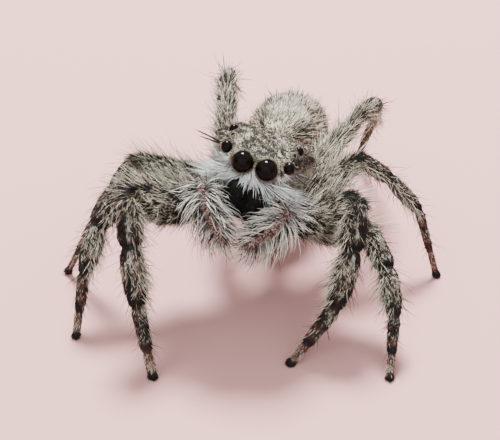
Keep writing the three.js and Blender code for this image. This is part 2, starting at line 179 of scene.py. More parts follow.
class Limb:
    """A leg or palp: its joints from the body outwards, and the plane it bends in."""

    def __init__(self, name, side, joints, girth):
        self.name = name
        self.turn = SIDES[side]
        self.joints = np.array(joints)
        self.girth = girth
        self.along = unit(np.diff(self.joints, axis=0))
        self.lengths = np.linalg.norm(np.diff(self.joints, axis=0), axis=1)
        bend = unit(np.cross(self.joints[1] - self.joints[0], self.joints[3] - self.joints[1]))
        self.normal = bend * np.sign(np.cross(bend, self.along[0])[2])
        self.normal = unit(self.normal - (self.along @ self.normal).mean() * self.along.mean(axis=0))

    def up(self, k):
        """The direction of segment k's back, which is the outer side of the limb's bends."""
        return unit(np.cross(self.normal, self.along[k]))

    def place(self, points):
        """For each point: its segment, its share along it, and its angle from the limb's back.

        Angles are positive towards the spider's front."""
        points = np.asarray(points, float)
        best = np.full(len(points), np.inf)
        segment = np.zeros(len(points), int)
        share = np.zeros(len(points))
        angle = np.zeros(len(points))
        for k, (start, along, length) in enumerate(zip(self.joints, self.along, self.lengths)):
            t = (points - start) @ along / length
            axis = start + np.clip(t, 0, 1)[:, None] * along * length
            away = points - axis
            distance = np.linalg.norm(away, axis=1) + 0.02 * k
            closer = distance < best
            best[closer] = distance[closer]
            segment[closer] = k
            share[closer] = t[closer]
            round_it = self.turn * np.arctan2(away @ self.normal, away @ self.up(k))
            angle[closer] = round_it[closer]
        return segment, np.clip(share, 0, 1), angle


def foot_end(name, ankle):
    """Where the axis of a foot meets the ground; the sole is cut askew, so slices give the axis."""
    points = node_points(name)
    sole = points[points[:, 2] < 0.001].mean(axis=0)
    for _ in range(2):
        way = sole - ankle
        upper, lower = (slice_middle(name, ankle + way * share, unit(way)) for share in (0.3, 0.7))
        axis = unit(lower - upper)
        sole = lower - axis * lower[2] / axis[2]
    return sole


def read_leg(side, pair):
    name = f"leg_{side}_{pair}"
    coxa, femur, shin, foot = (f"{name}_{piece}" for piece in ("coxa", "femur", "shin", "foot"))
    hip = ring_between(femur, coxa).mean(axis=0)
    knee, girth = joint_between(femur, shin)
    ankle, _ = joint_between(shin, foot)
    knee_end = slice_middle(shin, knee + (ankle - knee) * SHIN_SPLIT[pair], unit(ankle - knee))
    sole = foot_end(foot, ankle)
    foot_joint = ankle + (sole - ankle) * FOOT_SPLIT[pair]
    return Limb(name, side, [hip, knee, knee_end, ankle, foot_joint, sole], girth)


def read_palp(side):
    name = f"palp_{side}"
    femur, tibia, tarsus = (f"{name}_{piece}" for piece in ("femur", "tibia", "tarsus"))
    knee, girth = joint_between(femur, tibia)
    wrist, _ = joint_between(tibia, tarsus)
    root = far_end(femur, knee)
    middle = slice_middle(tibia, knee + (wrist - knee) * PALP_SPLIT, unit(wrist - knee))
    return Limb(name, side, [root, knee, middle, wrist, far_end(tarsus, wrist)], girth)


def read_body():
    """The body's own frame: a point midway between the front eyes, and its left, back and up."""
    left, right = node_middle("eye_front_left"), node_middle("eye_front_right")
    middle = (left + right) / 2
    across = unit(left - right)
    rear = (node_middle("eye_rear_left") + node_middle("eye_rear_right")) / 2 - middle
    slope = unit(rear - across * (rear @ across))
    above = np.cross(across, slope)
    back = slope * math.cos(EYE_RISE) - above * math.sin(EYE_RISE)
    return middle, np.array([across, back, np.cross(across, back)])


def read_abdomen():
    """The abdomen's frame: its waist, and its own left, back and up."""
    waist = node_middle("pedicel")
    tail = (node_middle("spinneret_left") + node_middle("spinneret_right")) / 2
    points = node_points("abdomen")
    end = points[np.argmax((points - waist) @ unit(tail - waist))]
    back = unit(end - waist)
    across = unit(BODY_AXES[0] - back * (BODY_AXES[0] @ back))
    return waist, np.array([across, back, np.cross(across, back)])


LEGS = {(side, pair): read_leg(side, pair) for side in SIDES for pair in PAIRS}
PALPS = {side: read_palp(side) for side in SIDES}
BODY_ORIGIN, BODY_AXES = read_body()
ABDOMEN_ORIGIN, ABDOMEN_AXES = read_abdomen()
FRONT_GIRTH = LEGS["left", 1].girth

LIMB_FLESH_NODES = sorted(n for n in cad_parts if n.startswith(("leg_", "palp_")) and "coxa" not in n)
HIND_NODES = ["pedicel", "abdomen", "spinneret_left", "spinneret_right"]
BODY_FLESH_NODES = ["carapace", "mouthparts", "sternum"] + HIND_NODES
COXA_NODES = sorted(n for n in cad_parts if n.endswith("coxa"))
FLESH_NODES = BODY_FLESH_NODES + COXA_NODES + LIMB_FLESH_NODES


def in_body(points):
    return (np.asarray(points) - BODY_ORIGIN) @ BODY_AXES.T


def in_abdomen(points):
    return (np.asarray(points) - ABDOMEN_ORIGIN) @ ABDOMEN_AXES.T


# --- Settings ------------------------------------------------------------------------------


def length_setting(name, description, default):
    return FloatProperty(name=name, description=description, default=default, unit="LENGTH", precision=6)


def colour_setting(name, description, default):
    return FloatVectorProperty(name=name, description=description, default=default, subtype="COLOR",
                               size=4, min=0, max=1)


class SpiderCoatSettings(bpy.types.PropertyGroup):
    leg_scale: length_setting("Leg scale", "Length of the flat hairs of the legs", 0.00024)
    head_scale: length_setting("Head scale", "Length of the flat hairs on top of the head", 0.00013)
    abdomen_scale: length_setting("Abdomen scale", "Length of the flat hairs of the abdomen", 0.00024)
    face_hair: length_setting("Face hair", "Length of the white hairs under the eyes", 0.00046)
    palp_hair: length_setting("Palp hair", "Length of the long hairs of the palps", 0.00078)
    fringe_hair: length_setting("Fringe hair", "Length of the long hairs of the legs", 0.00046)
    scale_width: length_setting("Scale width", "Width of a flat hair", 0.00003)
    hair_width: length_setting("Hair width", "Width of a long hair", 0.00002)
    density: FloatProperty(name="Density", description="Flat hairs for each square millimetre of skin",
                           default=900, min=10, max=2000)


class SpiderColourSettings(bpy.types.PropertyGroup):
    black: colour_setting("Black hair", "The darkest hairs", (0.004, 0.0036, 0.0036, 1))
    brown: colour_setting("Brown hair", "The dark brown hairs", (0.021, 0.0185, 0.0155, 1))
    tan: colour_setting("Tan hair", "The light brown hairs", (0.255, 0.226, 0.15, 1))
    cream: colour_setting("Cream hair", "The palest hairs", (0.76, 0.715, 0.6, 1))
    blue_white: colour_setting("Blue-white hair", "The cool white hairs of the face", (0.87, 0.94, 0.99, 1))
    skin: colour_setting("Skin", "Bare skin between the hairs", (0.008, 0.006, 0.0055, 1))
    rust: colour_setting("Rust skin", "Warm bare skin of the feet and palps", (0.27, 0.075, 0.05, 1))
    shell: colour_setting("Shell", "Jaws, fangs and claws", (0.0035, 0.003, 0.003, 1))
    eye: colour_setting("Eye", "The depth of the eyes", (0.003, 0.002, 0.0018, 1))
    floor: colour_setting("Floor", "The pale floor", (0.56, 0.29, 0.28, 1))


# --- Materials -----------------------------------------------------------------------------


def new_material(name):
    """An empty node material, its shader and its node tree."""
    material = bpy.data.materials.new(name)
    material.use_nodes = True
    tree = material.node_tree
    return material, tree, tree.nodes["Principled BSDF"]


def add_node(tree, kind, **values):
    node = tree.nodes.new(kind)
    for key, value in values.items():
        setattr(node, key, value)
    return node


def attribute(tree, name):
    return add_node(tree, "ShaderNodeAttribute", attribute_name=name).outputs["Fac"]


def blend_colours(tree, factor, first, second, mode="MIX"):
    """A colour mix. Each input is a socket or a plain value."""
    node = add_node(tree, "ShaderNodeMix", data_type="RGBA", blend_type=mode)
    for socket, value in ((node.inputs[0], factor), (node.inputs[6], first), (node.inputs[7], second)):
        if isinstance(value, bpy.types.NodeSocket):
            tree.links.new(value, socket)
        else:
            socket.default_value = value
    return node.outputs[2]


def noise(tree, scale, detail=3, stretch=(1, 1, 1)):
    """Noise on object coordinates, with this many lumps to the millimetre."""
    place = add_node(tree, "ShaderNodeTexCoord")
    mapping = add_node(tree, "ShaderNodeMapping")
    mapping.inputs["Scale"].default_value = [scale * s / MM for s in stretch]
    texture = add_node(tree, "ShaderNodeTexNoise")
    texture.inputs["Scale"].default_value = 1
    texture.inputs["Detail"].default_value = detail
    tree.links.new(place.outputs["Object"], mapping.inputs["Vector"])
    tree.links.new(mapping.outputs["Vector"], texture.inputs["Vector"])
    return texture.outputs["Fac"]


def bump(tree, shader, height, distance, strength=1):
    """Raises the surface by up to this distance in millimetres."""
    node = add_node(tree, "ShaderNodeBump")
    node.inputs["Strength"].default_value = strength
    node.inputs["Distance"].default_value = distance * MM
    tree.links.new(height, node.inputs["Height"])
    tree.links.new(node.outputs["Normal"], shader.inputs["Normal"])


def ramp(tree, factor, stops):
    node = add_node(tree, "ShaderNodeValToRGB")
    elements = node.color_ramp.elements
    while len(elements) < len(stops):
        elements.new(0.5)
    for element, (position, colour) in zip(elements, stops):
        element.position = position
        element.color = colour
    tree.links.new(factor, node.inputs["Fac"])
    return node.outputs["Color"]


def dimmed(colour, share):
    """A colour at this share of its brightness."""
    return [part * share for part in colour[:3]] + [1]


def tone_ramp(tree, colours):
    """The coat's colours from black through brown and tan to cream, by the tone of each hair."""
    stops = [(0, colours.black), (0.34, colours.brown), (0.7, colours.tan), (1, colours.cream)]
    return ramp(tree, attribute(tree, "tone"), stops)


def hair_material(colours):
    material, tree, shader = new_material("spider hair")
    base = tone_ramp(tree, colours)
    base = blend_colours(tree, attribute(tree, "chill"), base, colours.blue_white)
    base = blend_colours(tree, attribute(tree, "warmth"), base, colours.rust)
    # Painted shade: each hair darkens towards its root, standing in for the shade deep in the coat between
    # the hairs; on the cool white hairs this darkening is lessened.
    shade = ramp(tree, attribute(tree, "tip"), [(0, (0.16, 0.14, 0.13, 1)), (0.45, (1, 1, 1, 1))])
    paler = add_node(tree, "ShaderNodeMath", operation="MULTIPLY")
    paler.inputs[1].default_value = 0.3
    tree.links.new(attribute(tree, "chill"), paler.inputs[0])
    shade = blend_colours(tree, paler.outputs[0], shade, (1, 1, 1, 1))
    base = blend_colours(tree, 1, base, shade, "MULTIPLY")
    tree.links.new(base, shader.inputs["Base Color"])
    shader.inputs["Roughness"].default_value = 0.5
    shader.inputs["Specular IOR Level"].default_value = 0.22
    return material


def skin_material(colours):
    material, tree, shader = new_material("spider skin")
    fur = tone_ramp(tree, colours)
    base = blend_colours(tree, 0.22, colours.skin, fur)
    base = blend_colours(tree, attribute(tree, "chill"), base, dimmed(colours.blue_white, 0.1))
    base = blend_colours(tree, attribute(tree, "warmth"), base, colours.rust)
    grain = noise(tree, 30, 4)
    base = blend_colours(tree, grain, base, blend_colours(tree, 0.5, base, (0.02, 0.015, 0.012, 1)))
    tree.links.new(base, shader.inputs["Base Color"])
    shader.inputs["Roughness"].default_value = 0.55
    bump(tree, shader, noise(tree, 34, 5), 0.02, 0.7)
    return material


def shell_material(name, colour, roughness, wrinkle):
    """Hard dark shell with fine wrinkles across it, each this high in millimetres."""
    material, tree, shader = new_material(name)
    warm = tuple(c * 2 + d for c, d in zip(colour[:3], (0.003, 0.001, 0.0005))) + (1,)
    patches = ramp(tree, noise(tree, 3, 3), [(0.45, colour), (0.8, warm)])
    tree.links.new(patches, shader.inputs["Base Color"])
    shader.inputs["Roughness"].default_value = roughness
    shader.inputs["Specular IOR Level"].default_value = 0.15
    bump(tree, shader, noise(tree, 9, 3, (0.4, 0.4, 2.2)), wrinkle, 0.6)
    return material


def eye_material(colours):
    material, tree, shader = new_material("spider eye")
    depth = ramp(tree, noise(tree, 5, 2), [(0.35, colours.eye), (0.75, (0.006, 0.0035, 0.0025, 1))])
    tree.links.new(depth, shader.inputs["Base Color"])
    shader.inputs["Roughness"].default_value = 0.04
    shader.inputs["IOR"].default_value = 1.4
    shader.inputs["Specular IOR Level"].default_value = 0.09
    return material


def floor_material(colours):
    material, tree, shader = new_material("plain floor")
    mottle = blend_colours(tree, noise(tree, 0.02, 2), colours.floor, dimmed(colours.floor, 0.97))
    tree.links.new(mottle, shader.inputs["Base Color"])
    shader.inputs["Roughness"].default_value = 0.7
    shader.inputs["Specular IOR Level"].default_value = 0.2
    return material


def shared_material(name, make, *values):
    """The material of this name, made once and then shared by the pieces."""
    return bpy.data.materials.get(name) or make(*values)


# --- Modelling helpers ---------------------------------------------------------------------


def leave_edit_mode():
    if bpy.context.object and bpy.context.object.mode == "EDIT":
        bpy.ops.object.mode_set(mode="OBJECT")


def pick(*objects):
    """Selects these objects alone, with the first one active."""
    leave_edit_mode()
    bpy.ops.object.select_all(action="DESELECT")
    for piece in objects:
        piece.select_set(True)
    bpy.context.view_layer.objects.active = objects[0]


def apply_modifier(piece, kind, **values):
    pick(piece)
    modifier = piece.modifiers.new("step", kind)
    for key, value in values.items():
        setattr(modifier, key, value)
    bpy.ops.object.modifier_apply(modifier=modifier.name)


def bake_place(piece):
    """Moves an object's place, turn and size into its mesh."""
    pick(piece)
    bpy.ops.object.transform_apply(location=True, rotation=True, scale=True)


def join(pieces, name):
    pick(*pieces)
    if len(pieces) > 1:
        bpy.ops.object.join()
    piece = bpy.context.object
    piece.name = piece.data.name = name
    return piece


def recalculate_normals(piece):
    pick(piece)
    bpy.ops.object.mode_set(mode="EDIT")
    bpy.ops.mesh.select_all(action="SELECT")
    bpy.ops.mesh.remove_doubles(threshold=1e-5)
    bpy.ops.mesh.normals_make_consistent(inside=False)
    bpy.ops.object.mode_set(mode="OBJECT")


def to_metres(piece):
    """Brings a piece modelled in millimetres down to its real size."""
    piece.scale = (MM, MM, MM)
    bake_place(piece)


def finish_piece(piece, material, replaced=()):
    """Gives a finished piece its material and its ride on the body, and hides the solids that it stands for.
    """
    piece.data.materials.clear()
    piece.data.materials.append(material)
    pick(piece)
    bpy.ops.object.shade_smooth()
    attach(piece, "root")
    if replaced:
        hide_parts(*replaced)
    return piece


def frame_matrix(origin, side, up, along, width=1.0):
    """The matrix that stands a shape's x, y and z along side, up and along, from this origin."""
    matrix = Matrix.Identity(4)
    for column, axis in enumerate((np.asarray(side) * width, up, along)):
        for row in range(3):
            matrix[row][column] = axis[row]
    matrix.translation = Vector(origin)
    return matrix


def model_stalk(name, rings, sides=LIMB_SIDES):
    """A closed shape that grows along +Z: each ring is (height, half size, shift towards -Y)."""
    leave_edit_mode()
    bpy.ops.object.select_all(action="DESELECT")
    height, half, shift = rings[0]
    bpy.ops.mesh.primitive_circle_add(vertices=sides, radius=half, fill_type="NGON",
                                      location=(0, -shift, height))
    piece = bpy.context.object
    piece.name = name
    bake_place(piece)
    bpy.ops.object.mode_set(mode="EDIT")
    for next_height, next_half, next_shift in rings[1:]:
        move = (0, shift - next_shift, next_height - height)
        bpy.ops.mesh.extrude_region_move(TRANSFORM_OT_translate={"value": move})
        size = next_half / half
        bpy.ops.transform.resize(value=(size, size, 1), center_override=(0, -next_shift, next_height))
        height, half, shift = next_height, next_half, next_shift
    bpy.ops.object.mode_set(mode="OBJECT")
    return piece


def stand(piece, matrix):
    piece.matrix_world = matrix
    bake_place(piece)
    return piece


# --- Skin ----------------------------------------------------------------------------------

SKIN_VOXEL = 0.048
SMOOTHING_PASSES = 5
TAIL_ROOT = 0.95  # the spinnerets' roots start this far inside the abdomen
TAIL_RINGS = ((0.0, 0.34), (0.5, 0.3), (0.8, 0.22), (1.0, 0.14))
EYE_BED = 0.86  # size of the flesh behind an eye against the eye
RIM_SPREAD = 0.93  # size of the swollen rim against the eye
RIM_THICKNESS = 0.06
RIM_SETBACK = 0.42  # the rim lies this share of the eye's radius behind its middle


def limb_flesh(limb, flesh, girth, widths, sags):
    """The flesh of each segment of a limb, as closed shapes that run into one another."""
    pieces = []
    for k, stations in enumerate(flesh):
        length = limb.lengths[k]
        rings = []
        for share, half in stations:
            sag = sags[k] * math.sin(math.pi * min(max(share, 0), 1))
            rings.append((share * length, max(half * girth, min(half, LEAST_FLESH)), sag * girth))
        piece = model_stalk(f"{limb.name}_flesh_{k}", rings)
        matrix = frame_matrix(limb.joints[k], -limb.normal, limb.up(k), limb.along[k], widths[k])
        pieces.append(stand(piece, matrix))
    return pieces


def drawn_in_copy(name, depth):
    """A copy of a solid in millimetres, with its surface drawn in by the depth of the coat."""
    copy = bpy.data.objects.new(f"{name}_flesh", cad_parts[name].data.copy())
    bpy.context.scene.collection.objects.link(copy)
    copy.scale = (1 / MM, 1 / MM, 1 / MM)
    bake_place(copy)
    bpy.ops.object.mode_set(mode="EDIT")
    bpy.ops.mesh.select_all(action="SELECT")
    bpy.ops.mesh.remove_doubles(threshold=1e-3)
    bpy.ops.object.mode_set(mode="OBJECT")
    apply_modifier(copy, "DISPLACE", strength=-depth, mid_level=0, direction="NORMAL")
    return copy


def eye_facts(kind, side):
    """The centre, radius and gaze of the domed lens of an eye."""
    low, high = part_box(f"eye_{kind}_{side}")
    centre = np.array((low + high) / 2) / MM
    radius = (high - low).z / 2 / MM * EYE_SWELL[kind]
    outward, backward, upward = GAZES[kind]
    gaze = unit(np.array([SIDES[side] * outward, backward, upward]) @ BODY_AXES)
    return centre, radius, gaze


def facing(centre, gaze):
    """A matrix whose z looks along the gaze."""
    side = unit(np.cross(BODY_AXES[2], gaze))
    return frame_matrix(centre, side, np.cross(gaze, side), gaze)


def rim_axis(gaze):
    up = unit(BODY_AXES[2] - gaze * (BODY_AXES[2] @ gaze))
    return gaze * math.cos(RIM_TILT) + up * math.sin(RIM_TILT)


def socket_flesh(kind, side):
    """The flesh behind an eye, and the swollen rim that it sits in."""
    centre, radius, gaze = eye_facts(kind, side)
    axis = rim_axis(gaze)
    leave_edit_mode()
    bpy.ops.object.select_all(action="DESELECT")
    bpy.ops.mesh.primitive_uv_sphere_add(segments=24, ring_count=14, radius=radius * EYE_BED)
    bed = stand(bpy.context.object, facing(centre - axis * 0.04, axis))
    bpy.ops.object.select_all(action="DESELECT")
    bpy.ops.mesh.primitive_torus_add(major_segments=32, minor_segments=12, major_radius=radius * RIM_SPREAD,
                                     minor_radius=RIM_THICKNESS)
    rim = stand(bpy.context.object, facing(centre - axis * radius * RIM_SETBACK, axis))
    return [bed, rim]


def tail_flesh(side):
    """The root of a spinneret, which runs back into the abdomen."""
    tip = node_middle(f"spinneret_{side}")
    root = ABDOMEN_ORIGIN + ABDOMEN_AXES[1] * (in_abdomen(tip)[1] - TAIL_ROOT) + ABDOMEN_AXES[2] * 0.1
    along = unit(tip - root)
    length = np.linalg.norm(tip - root)
    rings = [(share * length, half, 0) for share, half in TAIL_RINGS]
    place = frame_matrix(root, BODY_AXES[0], np.cross(along, BODY_AXES[0]), along)
    return stand(model_stalk(f"tail_{side}", rings), place)


def tag_skin(skin):
    """Marks each point of the skin with the solid it belongs to, and with its markings."""
    corners, owners = [], []
    for number, name in enumerate(FLESH_NODES):
        triangles = node_corners(name)
        corners.append(triangles)
        owners += [number] * len(triangles)
    corners = np.concatenate(corners).reshape(-1, 3)
    faces = np.arange(len(corners)).reshape(-1, 3)
    tree = BVHTree.FromPolygons([Vector(c) for c in corners], faces.tolist())
    points = np.empty(len(skin.data.vertices) * 3)
    skin.data.vertices.foreach_get("co", points)
    points = points.reshape(-1, 3) / MM
    region = np.array([owners[tree.find_nearest(Vector(p))[2]] for p in points], np.int32)
    skin.data.attributes.new("region", "INT", "POINT").data.foreach_set("value", region)
    tone, warmth, chill = markings(points, region)
    for name, values in (("tone", tone), ("warmth", warmth), ("chill", chill)):
        layer = skin.data.attributes.new(name, "FLOAT", "POINT")
        layer.data.foreach_set("value", values.astype(np.float32))


class SPIDER_OT_skin(bpy.types.Operator):
    """One skin over the whole body, the legs and the palps"""
    bl_idname = "spider.skin"
    bl_label = "Skin"

    def execute(self, context):
        pieces = []
        for name in BODY_FLESH_NODES + COXA_NODES:
            kind = "coxa" if name.endswith("coxa") else name.split("_")[0]
            pieces.append(drawn_in_copy(name, COAT_DEPTH[kind]))
        for leg in LEGS.values():
            widths = [FEMUR_WIDTH, 1, 1, 1, 1]
            girth = leg.girth / FRONT_GIRTH
            pieces += limb_flesh(leg, LEG_FLESH, girth, widths, [FEMUR_SAG, 0, 0, 0, 0])
        for palp in PALPS.values():
            pieces += limb_flesh(palp, PALP_FLESH, 1, [1, 1, 1, 1], [0, 0, 0, 0])
        for kind in GAZES:
            for side in SIDES:
                pieces += socket_flesh(kind, side)
        pieces += [tail_flesh(side) for side in SIDES]
        skin = join(pieces, "skin")
        recalculate_normals(skin)
        apply_modifier(skin, "REMESH", mode="VOXEL", voxel_size=SKIN_VOXEL, adaptivity=0)
        apply_modifier(skin, "SMOOTH", factor=0.6, iterations=SMOOTHING_PASSES)
        to_metres(skin)
        tag_skin(skin)
        colours = context.scene.spider_colours
        finish_piece(skin, shared_material("spider skin", skin_material, colours), FLESH_NODES)
        return {"FINISHED"}


# --- Markings ------------------------------------------------------------------------------


def value_noise(points, size, seed):
    """Smooth noise from 0 to 1 whose lumps are about this many millimetres across."""
    grid = np.asarray(points) / size + 100
    cell = np.floor(grid).astype(np.int64)
    share = grid - cell
    share = share * share * (3 - 2 * share)
    total = np.zeros(len(grid))
    for corner in np.ndindex(2, 2, 2):
        x, y, z = (cell + corner).T
        mixed = (x * 73856093) ^ (y * 19349663) ^ (z * 83492791) ^ (seed * 40503)
        mixed = ((mixed ^ (mixed >> 13)) * 1274126177) & 0xFFFFFFFF
        value = ((mixed ^ (mixed >> 15)) & 0xFFFF) / 65535
        total += value * np.prod(np.where(corner, share, 1 - share), axis=1)
    return total


def bump_at(x, centre, width):
    """A smooth bump of height one at a place."""
    return np.exp(-(((x - centre) / width) ** 2))


def smooth_step(x, low, high):
    t = np.clip((x - low) / (high - low), 0, 1)
    return t * t * (3 - 2 * t)


# The painted highlight of each pair of legs, a thin pale bluish line, runs this far forward of the leg's
# back, in radians.
HIGHLIGHT_ANGLE = {1: 0.95, 2: 0.75, 3: 0.4, 4: 0.1}
HIGHLIGHT_STRENGTH = {1: 1.0, 2: 0.9, 3: 0.5, 4: 0.5}
LEG_TONE = (0.47, 0.53, 0.62, 0.46, 0.72)
LEG_WARMTH = (0.07, 0.16, 0.2, 0.38, 0.5)

# Dark marks of each leg segment: (share along, half width, how dark) on the outer flank, the
# inner flank, and all round.
OUTER_MARKS = (
    ((0.75, 0.2, 0.2),), ((0.62, 0.24, 0.8),), ((0.13, 0.09, 0.7), (0.78, 0.17, 0.95)),
    ((0.3, 0.2, 0.3),), (),
)
INNER_MARKS = (
    ((0.4, 0.2, 0.15),), ((0.45, 0.14, 0.15),), ((0.14, 0.05, 0.35), (0.86, 0.1, 0.5)),
    ((0.45, 0.16, 0.3),), (),
)
RINGS = (
    ((1.0, 0.05, 0.25),), ((0.975, 0.05, 1.3),), ((0.0, 0.025, 1.2), (0.97, 0.07, 0.7)),
    ((0.93, 0.1, 0.7),), ((0.06, 0.05, 0.2), (0.97, 0.17, 1.2)),
)


def bands(segment, share, marks):
    """How dark the marks of each segment make the coat at these places."""
    dark = np.zeros(len(share))
    for k, row in enumerate(marks):
        here = segment == k
        for centre, width, depth in row:
            dark[here] += depth * bump_at(share[here], centre, width)
    return dark


def leg_markings(leg, pair, points):
    """Mottled, with dark marks on both flanks, dark rings and a painted highlight, a pale line along the
    back.
    """
    segment, share, angle = leg.place(points)
    turn = (angle - HIGHLIGHT_ANGLE[pair] + math.pi) % (2 * math.pi) - math.pi
    outer = smooth_step(-turn, 0.15, 0.4) * (1 - smooth_step(-turn, 1.5, 2.1))
    inner = smooth_step(turn, 0.15, 0.4) * (1 - smooth_step(turn, 1.3, 1.9))
    blotch = value_noise(points, 0.3, 11 + pair) + 0.7 * value_noise(points, 0.14, 31) - 0.85
    tone = np.choose(segment, LEG_TONE) + 0.75 * blotch + (0.14 if pair == 4 else 0)
    wobble = share + 0.12 * (value_noise(points, 0.15, 7) - 0.5)
    dark = bands(segment, wobble, OUTER_MARKS) * outer + bands(segment, wobble, INNER_MARKS) * inner
    dark += bands(segment, share, RINGS)
    tone -= dark
    # Painted highlight: a thin pale line where light catches the back of the patella, tibia and metatarsus;
    # its share of chill makes it bluish white.
    highlight_line = (1 - smooth_step(np.abs(turn), 0.05, 0.14)) * HIGHLIGHT_STRENGTH[pair]
    highlight_line *= np.choose(segment, (0.0, 0.9, 0.9, 0.4, 0.0))
    highlight_line *= smooth_step(np.where(segment == PATELLA, share, 1 - share), 0.4, 0.8)
    highlight_line *= smooth_step(value_noise(points, 0.1, 17), 0.35, 0.6)
    tone += highlight_line
    spots = 0.7 * value_noise(points, 0.16, 5) + 0.3 * value_noise(points, 0.07, 6)
    speckle = smooth_step(spots, 0.45, 0.72)
    warmth = np.choose(segment, LEG_WARMTH) * np.where(segment == TARSUS, 0.4 + 0.6 * speckle, speckle)
    warmth *= 1 - np.clip(dark, 0, 1)
    return tone, warmth, 0.4 * highlight_line


def palp_markings(palp, points):
    """Pale hairs, parted along the back over warm bare skin."""
    _, _, angle = palp.place(points)
    parting = 1 - smooth_step(np.abs(angle), 0.35, 0.8)
    patches = smooth_step(value_noise(points, 0.07, 8), 0.3, 0.6)
    tone = 0.9 - 0.1 * value_noise(points, 0.3, 9) - 0.75 * parting
    return tone, parting * (0.2 + 0.3 * patches), np.zeros(len(points))


def carapace_markings(points):
    """Mottled and speckled on top, paler below the eyes, and cool white on the face."""
    x, y, z = in_body(points).T
    mottle = value_noise(points, 0.2, 2) + 0.9 * value_noise(points, 0.08, 3) - 0.95
    tone = 0.42 + 0.8 * mottle
    tone += 0.12 * smooth_step(y, 1.6, 2.6) * (1 - smooth_step(np.abs(x), 0.25, 0.6))
    below_eyes = smooth_step(-z, 0.12, 0.45)
    tone += 0.4 * below_eyes
    tone -= 0.32 * smooth_step(value_noise(points, 0.1, 54), 0.5, 0.62) * (1 - below_eyes)
    chill = 0.75 * below_eyes * (1 - smooth_step(np.abs(x) + 0.4 * np.maximum(y, 0), 0.8, 1.2))
    return tone, np.zeros(len(points)), chill


def abdomen_markings(points):
    """A pale scalloped band down the middle of the back, between mottled dark flanks."""
    x, y, z = in_abdomen(points).T
    scallop = 0.62 + 0.16 * np.cos(y * 4.2) - 0.05 * y
    band = (1 - smooth_step(np.abs(x), scallop - 0.12, scallop + 0.12)) * smooth_step(z, 0.0, 0.3)
    edge = bump_at(np.abs(x), scallop + 0.1, 0.12) * smooth_step(z, 0.0, 0.3)
    flank = 0.5 + 0.25 * np.sin(y * 5 + np.abs(x) * 4)
    tone = 0.42 + 0.33 * band - 0.16 * edge + 0.1 * flank * (1 - band)
    tone += 0.36 * (value_noise(points, 0.4, 21) + 0.6 * value_noise(points, 0.17, 22) - 0.8)
    tone += 0.12 * smooth_step(-z, 0.3, 0.8)
    return tone, np.zeros(len(points)), np.zeros(len(points))


def markings(points, region):
    """Tone from black to cream, warmth of bare skin and cool white, for points of these solids."""
    tone = np.full(len(points), 0.5)
    warmth = np.zeros(len(points))
    chill = np.zeros(len(points))

    def mark(names, values):
        here = np.isin(region, [FLESH_NODES.index(name) for name in names])
        if here.any():
            tone[here], warmth[here], chill[here] = values(points[here])

    mark(["carapace"], carapace_markings)
    mark(HIND_NODES, abdomen_markings)
    for (_, pair), leg in LEGS.items():
        names = [name for name in FLESH_NODES if name.startswith(leg.name)]
        mark(names, lambda p, leg=leg, pair=pair: leg_markings(leg, pair, p))
    for palp in PALPS.values():
        names = [name for name in FLESH_NODES if name.startswith(palp.name)]
        mark(names, lambda p, palp=palp: palp_markings(palp, p))
    return np.clip(tone, 0.02, 1), np.clip(warmth, 0, 1), np.clip(chill, 0, 1)


# --- Coat ----------------------------------------------------------------------------------


class Hide:
    """The finished skin as arrays: its triangles, the solid each belongs to, and its normals."""

    def __init__(self):
        mesh = bpy.data.objects["skin"].data
        mesh.calc_loop_triangles()
        count = len(mesh.vertices)
        points = np.empty(count * 3)
        mesh.vertices.foreach_get("co", points)
        normals = np.empty(count * 3)
        mesh.vertex_normals.foreach_get("vector", normals)
        region = np.empty(count, np.int32)
        mesh.attributes["region"].data.foreach_get("value", region)
        index = np.empty(len(mesh.loop_triangles) * 3, np.int32)
        mesh.loop_triangles.foreach_get("vertices", index)
        index = index.reshape(-1, 3)
        self.corners = (points.reshape(-1, 3) / MM)[index]
        self.normals = normals.reshape(-1, 3)[index]
        self.region = region[index[:, 0]]
        edges = self.corners[:, 1:] - self.corners[:, :1]
        self.area = np.linalg.norm(np.cross(edges[:, 0], edges[:, 1]), axis=1) / 2
        self.middle = self.corners.mean(axis=1)

    def where(self, names):
        return np.isin(self.region, [FLESH_NODES.index(name) for name in names])

    def scatter(self, rng, density):
        """Even random roots: density is the number to the square millimetre, for each triangle."""
        wanted = self.area * density
        count = np.floor(wanted + rng.random(len(wanted))).astype(int)
        chosen = np.repeat(np.arange(len(wanted)), count)
        weights = rng.dirichlet((1, 1, 1), len(chosen))[:, :, None]
        roots = (self.corners[chosen] * weights).sum(axis=1)
        normals = unit((self.normals[chosen] * weights).sum(axis=1))
        return roots, normals, self.region[chosen]


# Seeds of the random numbers of each coat.
SEEDS = {
    "leg": 100, "palp": 200, "head": 300, "face": 400, "abdomen": 500, "underside": 600, "jaw": 650,
    "bristle": 700,
}

# Hairs for each square millimetre of skin, beside the flat ones that follow the setting.
DENSITY = {
    "fringe": 240, "standing": 26, "foot pad": 3400, "palp": 540, "palp parting": 1700, "face": 1050,
    "eye rim": 3400, "abdomen": 55, "underside": 500, "bristle": 9,
}

# Lengths in millimetres of the hairs that have no setting of their own.
HAIR_LENGTH = {
    "foot pad": 0.17, "palp parting": 0.14, "eye rim": 0.045, "abdomen": 0.4, "underside": 0.2,
    "jaw": 0.2, "bristle": 0.42,
}

HEAD_LAYOUT = 4.4  # length of head and carapace on the flat layout of the skin
ABDOMEN_LAYOUT = 5.9


